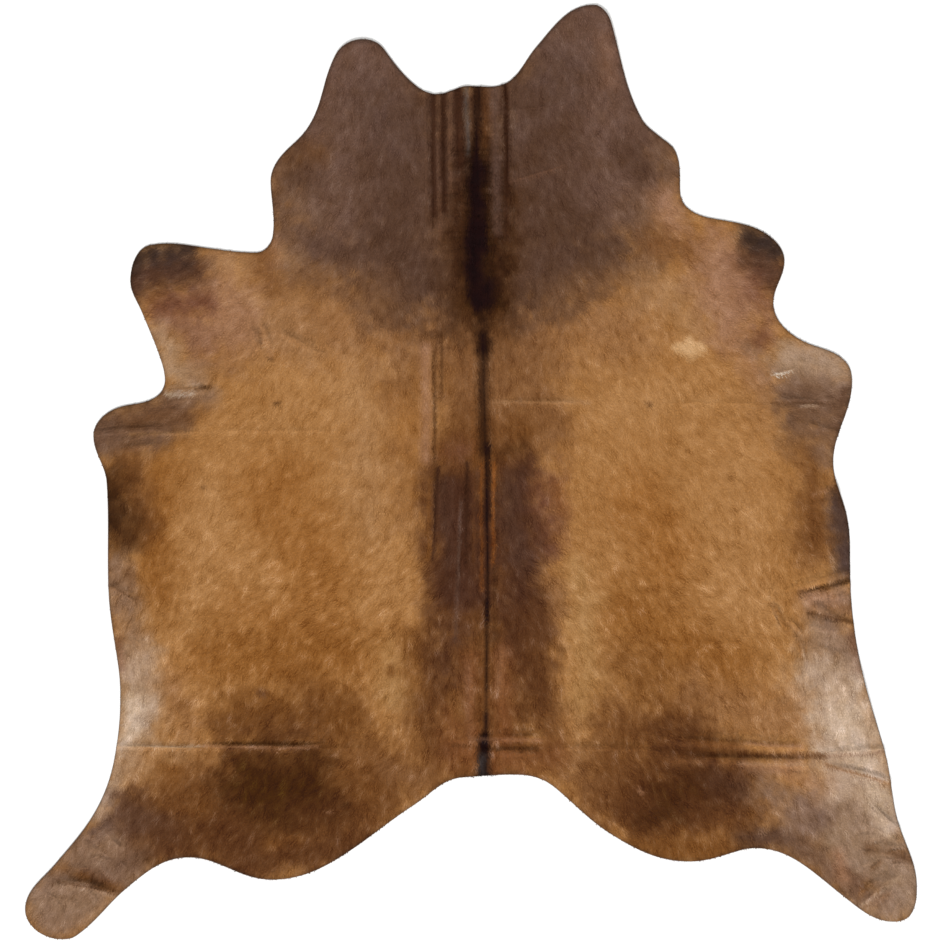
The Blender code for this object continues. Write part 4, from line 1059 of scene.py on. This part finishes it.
locks = {
    "spacing": 0.0040,
    "strayAlong": 0.36,    # in spacings, how far off its even place a lock grows
    "strayAcross": 0.3,
    "rimClearance": 0.0008,
    "length": 0.0105,
    "lengthSpread": 0.28,
    "leastShare": 0.3,     # of its length, left to a lock at the rim
    "width": 0.0029,
    "widthRange": (0.75, 1.2),
    "bend": 9,             # degrees by which the tip turns aside
    "ridgeAt": 0.32,       # of the length, where a lock is highest
    "rise": 0.00038,       # the ridge's height over the skin
    "riseRange": (0.6, 1.4),
    "tipRise": 0.00032,
    "tipRange": (0.2, 1.8),
    "sink": 0.0003,        # how far a root lies under the skin
    "swirl": 18,           # degrees
    "swirlCell": 0.05,
    "scatter": 15,         # degrees
    "rootShade": 0.90,     # against the hair's own colour
    "tipShade": 1.04,
    "shadeSpread": 0.03,   # from lock to lock
    "streak": 0.37,        # how much darker and paler hair alternates
    "greying": 0.9,        # how much further green and blue move than red
    "greyingMost": 3,
    "streakCell": 0.0080,
    "streakReach": 0.009,
    "streakSteps": 5,
    "clump": 0.17,
    "clumpCell": 0.017,
    "lowCoarser": 0.45,    # how much stronger streaks and clumps are on the rump and haunches
    "lowFrom": 0.0,
    "lowOver": 0.35,
    "darkCoarser": 0.45,   # and on dark hair
    "paleFrom": 0.22,
    "drift": 0.0025,       # how far off a lock may take its colour
    "overhang": 0.0009,    # how far tips may pass the cut rim
    "lineShort": 0.5,      # how much shorter locks are on a line
    "bands": {"fore": (0.26, 9), "flank": (-0.34, 0.26), "haunch": (-9, -0.34)},  # of y, a piece for each
}


def lockRoots(rim, spacing, rng):
    rimX = np.array([p.x for p in rim])
    rimY = np.array([p.y for p in rim])
    nextX = np.roll(rimX, -1)
    nextY = np.roll(rimY, -1)
    along = locks["strayAlong"]
    across = locks["strayAcross"]
    clear = locks["rimClearance"]
    roots = []
    levels = np.arange(rimY.min() + spacing / 2, rimY.max(), spacing * sheet["rowShare"])
    for number, level in enumerate(levels):
        cut = (rimY > level) != (nextY > level)
        share = (level - rimY[cut]) / (nextY[cut] - rimY[cut])
        crossings = np.sort(rimX[cut] + share * (nextX[cut] - rimX[cut]))
        for start, end in zip(crossings[::2], crossings[1::2]):
            first = np.ceil(start / spacing) * spacing + (spacing / 2 if number % 2 else 0)
            x = np.arange(first, end, spacing)
            x = x + rng.uniform(-along, along, len(x)) * spacing
            x = x[(x > start + clear) & (x < end - clear)]
            y = level + rng.uniform(-across, across, len(x)) * spacing
            roots.append(np.stack([x, y], 1))
    return np.concatenate(roots)


def makeLocks(rim):
    rng = np.random.default_rng(seeds["locks"])
    roots = lockRoots(rim, locks["spacing"], rng)
    x = roots[:, 0]
    y = roots[:, 1]
    count = len(x)
    tree = placeTree(rimCourse(sheet["rimStep"] / sheet["rimFiner"]))
    distance = rimDistance(tree, x, y)
    turn = locks["swirl"] * 2 * layeredNoise(x, y, locks["swirlCell"], seeds["swirl"])
    turn += rng.normal(0, locks["scatter"], count)
    heading = combHeading(x, y) + np.radians(turn)
    lines = lineMask(x, y)
    length = locks["length"] * (1 + rng.uniform(-1, 1, count) * locks["lengthSpread"])
    length *= 1 - locks["lineShort"] * lines
    length = np.minimum(length, np.maximum(locks["leastShare"] * length, distance + locks["overhang"]))
    half = locks["width"] / 2 * rng.uniform(*locks["widthRange"], count)
    aheadX = np.cos(heading)
    aheadY = np.sin(heading)
    bend = np.radians(rng.normal(0, locks["bend"], count))
    tipX = x + length * np.cos(heading + bend)
    tipY = y + length * np.sin(heading + bend)
    ridgeX = x + aheadX * length * locks["ridgeAt"]
    ridgeY = y + aheadY * length * locks["ridgeAt"]
    skin = sheet["sunk"]
    rise = locks["rise"] * rng.uniform(*locks["riseRange"], count)
    tipRise = locks["tipRise"] * rng.uniform(*locks["tipRange"], count)
    rootZ = coatTop(x, y) - skin - locks["sink"]
    ridgeZ = coatTop(ridgeX, ridgeY) - skin + rise
    tipZ = coatTop(tipX, tipY) - skin + tipRise
    places = np.stack([
        np.stack([x - aheadY * half, y + aheadX * half, rootZ], 1),
        np.stack([x + aheadY * half, y - aheadX * half, rootZ], 1),
        np.stack([ridgeX, ridgeY, ridgeZ], 1),
        np.stack([tipX, tipY, tipZ], 1),
    ], 1)
    drift = locks["drift"] * (1 - lines)
    colour = coatColour(x + drift * rng.normal(0, 1, count), y + drift * rng.normal(0, 1, count))
    broken = np.zeros(count)
    steps = locks["streakSteps"]
    for ahead in np.linspace(-1, 1, steps) * locks["streakReach"]:
        streak = valueNoise(x + aheadX * ahead, y + aheadY * ahead, locks["streakCell"], seeds["streak"])
        broken += streak / steps
    clump = layeredNoise(x, y, locks["clumpCell"], seeds["clump"], 2)
    broken = locks["streak"] * broken + locks["clump"] * clump
    broken *= 1 + locks["lowCoarser"] * softStep((locks["lowFrom"] - y) / locks["lowOver"])
    broken *= 1 + locks["darkCoarser"] * (1 - softStep(colour.mean(1) / locks["paleFrom"]))
    shade = np.exp(broken + rng.normal(0, locks["shadeSpread"], count))
    rootRimShade = paintedRimShade(colour, distance)
    tipRimShade = paintedRimShade(colour, rimDistance(tree, tipX, tipY))
    # Pale hair is greyer and dark hair richer, so green and blue move further than red
    further = np.clip((colour[:, :1] / colour) ** (1 / displayPower), 1, locks["greyingMost"]) - 1
    colour = colour * shade[:, None] ** (1 + locks["greying"] * further)
    colours = np.stack([
        colour * rootRimShade * locks["rootShade"],
        colour * rootRimShade * locks["rootShade"],
        colour * (rootRimShade + tipRimShade) / 2,
        colour * tipRimShade * locks["tipShade"],
    ], 1)
    return x, y, places, np.clip(colours, 0, 1)


def lockPiece(name, places, colours, material):
    count = len(places)
    corners = np.array([[0, 1, 2], [0, 2, 3], [1, 3, 2], [0, 3, 1]])
    faces = (np.arange(count)[:, None, None] * 4 + corners).reshape(-1, 3)
    mesh = bpy.data.meshes.new(name)
    mesh.from_pydata(places.reshape(-1, 3), [], faces)
    paint = mesh.color_attributes.new("coat", "FLOAT_COLOR", "POINT")
    flat = np.concatenate([colours.reshape(-1, 3), np.ones((count * 4, 1))], 1)
    paint.data.foreach_set("color", flat.astype(np.float32).ravel())
    spread = places.reshape(-1, 3)[:, :2]
    low = spread.min(0)
    size = (spread.max(0) - low).max()
    picture = mesh.uv_layers.new(name="OFBake")
    picture.data.foreach_set("uv", ((spread[faces.ravel()] - low) / size).astype(np.float32).ravel())
    mesh.materials.append(material)
    piece = bpy.data.objects.new(name, mesh)
    bpy.context.scene.collection.objects.link(piece)
    return piece


def apartFrom(points, others, least):
    tree = placeTree(others)
    return [p for p in points if tree.find(p.to_3d())[2] > least]


def foldPoints(form, fold):
    length, alongX, alongY = foldRun(fold)
    start = Vector((fold.x1, fold.y1))
    along = Vector((alongX, alongY))
    left = Vector((-alongY, alongX))
    steps = max(sheet["leastSteps"], round(length / sheet["rowStep"]))
    points = []
    for step in range(steps + 1):
        run = step / steps
        middle = start + along * run * length + left * fold.bow * sin(pi * run)
        points += [middle + left * side * fold.width for side in pointRows[form]]
    return points


def sheetPoints(rim):
    named = [("fine", fold) for fold in fineFolds]
    named += [(form, fold) for form in ("crease", "ridge") for fold in mainFolds[form]]
    inside = []
    for form, fold in named:
        fresh = apartFrom(foldPoints(form, fold), rim, sheet["rimClearance"])
        if inside:
            fresh = apartFrom(fresh, inside, sheet["rowClearance"])
        inside += fresh
    step = sheet["fieldStep"]
    rowShare = sheet["rowShare"]
    west = min(p.x for p in rim)
    south = min(p.y for p in rim)
    columns = round((max(p.x for p in rim) - west) / step)
    rows = round((max(p.y for p in rim) - south) / (step * rowShare))
    field = []
    for row in range(rows + 1):
        start = west + (step / 4 if row % 2 else -step / 4)
        level = south + row * step * rowShare
        field += [Vector((start + column * step, level)) for column in range(columns + 1)]
    return inside + apartFrom(field, rim + inside, sheet["fieldClearance"])


def makeSheet(rim, materials):
    places = rim + sheetPoints(rim)
    cutEdge = list(range(len(rim)))
    insideOnly = 1  # the kind of triangulation that keeps what lies inside the rim
    points, _, flatFaces, *_ = delaunay_2d_cdt(places, [], [cutEdge], insideOnly, sheet["samePoint"])
    x = np.array([p.x for p in points])
    y = np.array([p.y for p in points])
    floorSide = undersideHeight(x, y)
    coatSide = coatTop(x, y) - sheet["sunk"]
    print("sheet points:", len(points), "faces:", len(flatFaces))

    hide = bmesh.new()
    number = hide.verts.layers.int.new("number")
    lower = [hide.verts.new((x[i], y[i], floorSide[i])) for i in range(len(points))]
    for face in flatFaces:
        hide.faces.new([lower[i] for i in face])
    hide.normal_update()
    bmesh.ops.reverse_faces(hide, faces=[f for f in hide.faces if f.normal.z > 0])
    for i, vert in enumerate(lower):
        vert[number] = i
    bmesh.ops.delete(hide, geom=[v for v in hide.verts if not v.link_faces], context="VERTS")
    underside = list(hide.faces)
    raised = bmesh.ops.extrude_face_region(hide, geom=underside, use_keep_orig=True)["geom"]
    topVerts = [g for g in raised if isinstance(g, bmesh.types.BMVert)]
    topFaces = [g for g in raised if isinstance(g, bmesh.types.BMFace)]
    for vert in topVerts:
        vert.co.z = coatSide[vert[number]]
    # Coat above, the cut round the rim, suede below
    for face in hide.faces:
        face.material_index = 1
    for face in topFaces:
        face.material_index = 0
    for face in underside:
        face.material_index = 2
    bmesh.ops.recalc_face_normals(hide, faces=hide.faces)
    hide.normal_update()
    shapeRim(hide, set(topVerts))

    mesh = bpy.data.meshes.new("hideSheet")
    hide.to_mesh(mesh)
    hide.free()
    for material in materials:
        mesh.materials.append(material)
    mesh.shade_smooth()
    spots = np.empty(len(mesh.vertices) * 3)
    mesh.vertices.foreach_get("co", spots)
    spots = spots.reshape(-1, 3)
    paint = mesh.color_attributes.new("coat", "FLOAT_COLOR", "POINT")
    colour = np.ones((len(spots), 4))
    skin = coatColour(spots[:, 0], spots[:, 1])
    tree = placeTree(rimCourse(sheet["rimStep"] / sheet["rimFiner"]))
    distance = rimDistance(tree, spots[:, 0], spots[:, 1])
    colour[:, :3] = skin * paintedRimShade(skin, distance)
    paint.data.foreach_set("color", colour.astype(np.float32).ravel())
    piece = bpy.data.objects.new("hideSheet", mesh)
    bpy.context.scene.collection.objects.link(piece)
    return piece


def placeOf(vert):
    return round(vert.co.x, 6), round(vert.co.y, 6)


def shapeRim(hide, top):
    # The cut edge: upright edges divided, then drawn in at the foot and rounded at the coat
    upright = [e for e in hide.edges if (e.verts[0] in top) != (e.verts[1] in top)]
    rings = len(sheet["cutProfile"]) - 1
    outward = {}
    ends = {}
    for edge in upright:
        high = edge.verts[0] if edge.verts[0] in top else edge.verts[1]
        low = edge.other_vert(high)
        normal = sum((f.normal for f in edge.link_faces), Vector()).normalized()
        normal.z = 0
        ends[placeOf(low)] = (low.co.z, high.co.z, normal)
    bmesh.ops.subdivide_edges(hide, edges=upright, cuts=rings - 1, use_grid_fill=True)
    for vert in hide.verts:
        found = ends.get(placeOf(vert))
        if found:
            low, high, normal = found
            share = (vert.co.z - low) / (high - low)
            inset, level = sheet["cutProfile"][round(share * rings)]
            outward[vert] = (-normal * inset, low + (high - low) * level)
    for vert, (shift, height) in outward.items():
        vert.co += shift
        vert.co.z = height


# Materials
finishes = {
    "hairScale": 260,        # of the speckle in the hair's colour
    "speckleDetail": 3,
    "speckleSpan": (0.3, 0.7),
    "specular": 0.07,
    "sheenRoughness": 0.45,
    "bumpDistance": 0.001,
    "cutColour": (86, 62, 45),
    "suedeColour": (196, 178, 156),
}


def newMaterial(name):
    made = bpy.data.materials.new(name)
    made.use_nodes = True
    return made, made.node_tree.nodes, made.node_tree.links, made.node_tree.nodes["Principled BSDF"]


def toneGroup():
    group = bpy.data.node_groups.new("hairTone", "ShaderNodeTree")
    for name, kind, value in (("Colour", "NodeSocketColor", None), ("Scale", "NodeSocketFloat", 160.0),
                              ("Amount", "NodeSocketFloat", 0.2)):
        socket = group.interface.new_socket(name=name, in_out="INPUT", socket_type=kind)
        if value is not None:
            socket.default_value = value
    group.interface.new_socket(name="Colour", in_out="OUTPUT", socket_type="NodeSocketColor")
    group.interface.new_socket(name="Height", in_out="OUTPUT", socket_type="NodeSocketFloat")
    nodes = group.nodes
    links = group.links
    inside = nodes.new("NodeGroupInput")
    outside = nodes.new("NodeGroupOutput")
    place = nodes.new("ShaderNodeTexCoord")
    speckle = nodes.new("ShaderNodeTexNoise")
    speckle.inputs["Detail"].default_value = finishes["speckleDetail"]
    spread = nodes.new("ShaderNodeMapRange")
    spread.inputs["From Min"].default_value = finishes["speckleSpan"][0]
    spread.inputs["From Max"].default_value = finishes["speckleSpan"][1]
    spread.inputs["To Min"].default_value = -1
    spread.inputs["To Max"].default_value = 1
    gain = nodes.new("ShaderNodeMath")
    gain.operation = "MULTIPLY_ADD"
    gain.inputs[2].default_value = 1
    tone = nodes.new("ShaderNodeVectorMath")
    tone.operation = "SCALE"
    links.new(place.outputs["Object"], speckle.inputs["Vector"])
    links.new(inside.outputs["Scale"], speckle.inputs["Scale"])
    links.new(speckle.outputs["Fac"], spread.inputs["Value"])
    links.new(spread.outputs["Result"], gain.inputs[0])
    links.new(inside.outputs["Amount"], gain.inputs[1])
    links.new(inside.outputs["Colour"], tone.inputs[0])
    links.new(gain.outputs["Value"], tone.inputs["Scale"])
    links.new(tone.outputs["Vector"], outside.inputs["Colour"])
    links.new(speckle.outputs["Fac"], outside.inputs["Height"])
    return group


def addBump(nodes, links, tone, shader, strength):
    rough = nodes.new("ShaderNodeBump")
    rough.inputs["Strength"].default_value = strength
    rough.inputs["Distance"].default_value = finishes["bumpDistance"]
    links.new(tone.outputs["Height"], rough.inputs["Height"])
    links.new(rough.outputs["Normal"], shader.inputs["Normal"])


def coatMaterial(name, group, roughness, sheen, amount, bump):
    made, nodes, links, shader = newMaterial(name)
    paint = nodes.new("ShaderNodeAttribute")
    paint.attribute_name = "coat"
    tone = nodes.new("ShaderNodeGroup")
    tone.node_tree = group
    tone.inputs["Scale"].default_value = finishes["hairScale"]
    tone.inputs["Amount"].default_value = amount
    links.new(paint.outputs["Color"], tone.inputs["Colour"])
    links.new(tone.outputs["Colour"], shader.inputs["Base Color"])
    shader.inputs["Roughness"].default_value = roughness
    shader.inputs["Specular IOR Level"].default_value = finishes["specular"]
    shader.inputs["Sheen Weight"].default_value = sheen
    shader.inputs["Sheen Roughness"].default_value = finishes["sheenRoughness"]
    if bump:
        addBump(nodes, links, tone, shader, bump)
    return made


def leatherMaterial(name, group, colour, roughness, scale, amount, bump):
    made, nodes, links, shader = newMaterial(name)
    tone = nodes.new("ShaderNodeGroup")
    tone.node_tree = group
    tone.inputs["Colour"].default_value = (*linearFrom(colour), 1)
    tone.inputs["Scale"].default_value = scale
    tone.inputs["Amount"].default_value = amount
    links.new(tone.outputs["Colour"], shader.inputs["Base Color"])
    shader.inputs["Roughness"].default_value = roughness
    addBump(nodes, links, tone, shader, bump)
    return made


# The studio
studio = {
    "lens": 85,
    "sensor": 36,
    "frameWidth": 2.2236,  # metres of floor that the picture shows
    "centre": (0.0024, 0.0),
    "floorSize": 80.0,
    "floorDrop": 0.0004,   # how far the floor lies under the hide
    "floorColour": (0.92, 0.92, 0.915),
    "floorRoughness": 0.9,
    "skyStrength": 0.72,
    "keyStrength": 2.6,
    "keyTurn": (48, 0, -12),  # degrees
    "keySpread": 24,
}


def makeStudio():
    scene = bpy.context.scene
    scene.view_settings.view_transform = "Standard"
    camera = bpy.data.cameras.new("overhead")
    camera.lens = studio["lens"]
    camera.sensor_width = studio["sensor"]
    holder = bpy.data.objects.new("overhead", camera)
    distance = studio["frameWidth"] * studio["lens"] / studio["sensor"]
    holder.location = (*studio["centre"], distance)
    scene.collection.objects.link(holder)
    scene.camera = holder

    ground = bmesh.new()
    bmesh.ops.create_grid(ground, x_segments=1, y_segments=1, size=studio["floorSize"] / 2)
    bmesh.ops.translate(ground, verts=ground.verts, vec=(0, 0, -studio["floorDrop"]))
    mesh = bpy.data.meshes.new("paleFloor")
    ground.to_mesh(mesh)
    ground.free()
    made, nodes, links, shader = newMaterial("palePaint")
    shader.inputs["Base Color"].default_value = (*studio["floorColour"], 1)
    shader.inputs["Roughness"].default_value = studio["floorRoughness"]
    mesh.materials.append(made)
    floor = bpy.data.objects.new("paleFloor", mesh)
    scene.collection.objects.link(floor)

    world = scene.world or bpy.data.worlds.new("studio")
    scene.world = world
    world.use_nodes = True
    sky = world.node_tree.nodes["Background"]
    sky.inputs["Color"].default_value = (1, 1, 1, 1)
    sky.inputs["Strength"].default_value = studio["skyStrength"]
    sun = bpy.data.lights.new("key", "SUN")
    sun.energy = studio["keyStrength"]
    sun.angle = radians(studio["keySpread"])
    key = bpy.data.objects.new("key", sun)
    key.rotation_euler = [radians(a) for a in studio["keyTurn"]]
    scene.collection.objects.link(key)


for other in list(bpy.data.objects):
    if other.type in ("CAMERA", "LIGHT") or other.name == "Cube":
        bpy.data.objects.remove(other)
makeStudio()
hairTone = toneGroup()
skinCoat = coatMaterial("coatAtTheSkin", hairTone, roughness=0.7, sheen=0.0, amount=0.25, bump=0.4)
lockCoat = coatMaterial("coatLocks", hairTone, roughness=0.6, sheen=0.02, amount=0.08, bump=0)
cutLeather = leatherMaterial("cutLeather", hairTone, finishes["cutColour"], roughness=0.75, scale=900,
                             amount=0.3, bump=0.4)
suede = leatherMaterial("suede", hairTone, finishes["suedeColour"], roughness=0.9, scale=500,
                        amount=0.14, bump=0.5)

rim = rimCourse(sheet["rimStep"])
hideSheet = makeSheet(rim, (skinCoat, cutLeather, suede))
print("sheet made")
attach(hideSheet, "root")
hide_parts("hide")

rootX, rootY, lockPlaces, lockColours = makeLocks(rim)
for sideName, sidePart in (("left", rootX < 0.0), ("right", rootX >= 0.0)):
    for bandName, (low, high) in locks["bands"].items():
        part = sidePart & (rootY >= low) & (rootY < high)
        name = f"coat.{sideName}.{bandName}"
        coat = lockPiece(name, lockPlaces[part], lockColours[part], lockCoat)
        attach(coat, "root")
        print(name, int(part.sum()), "locks")
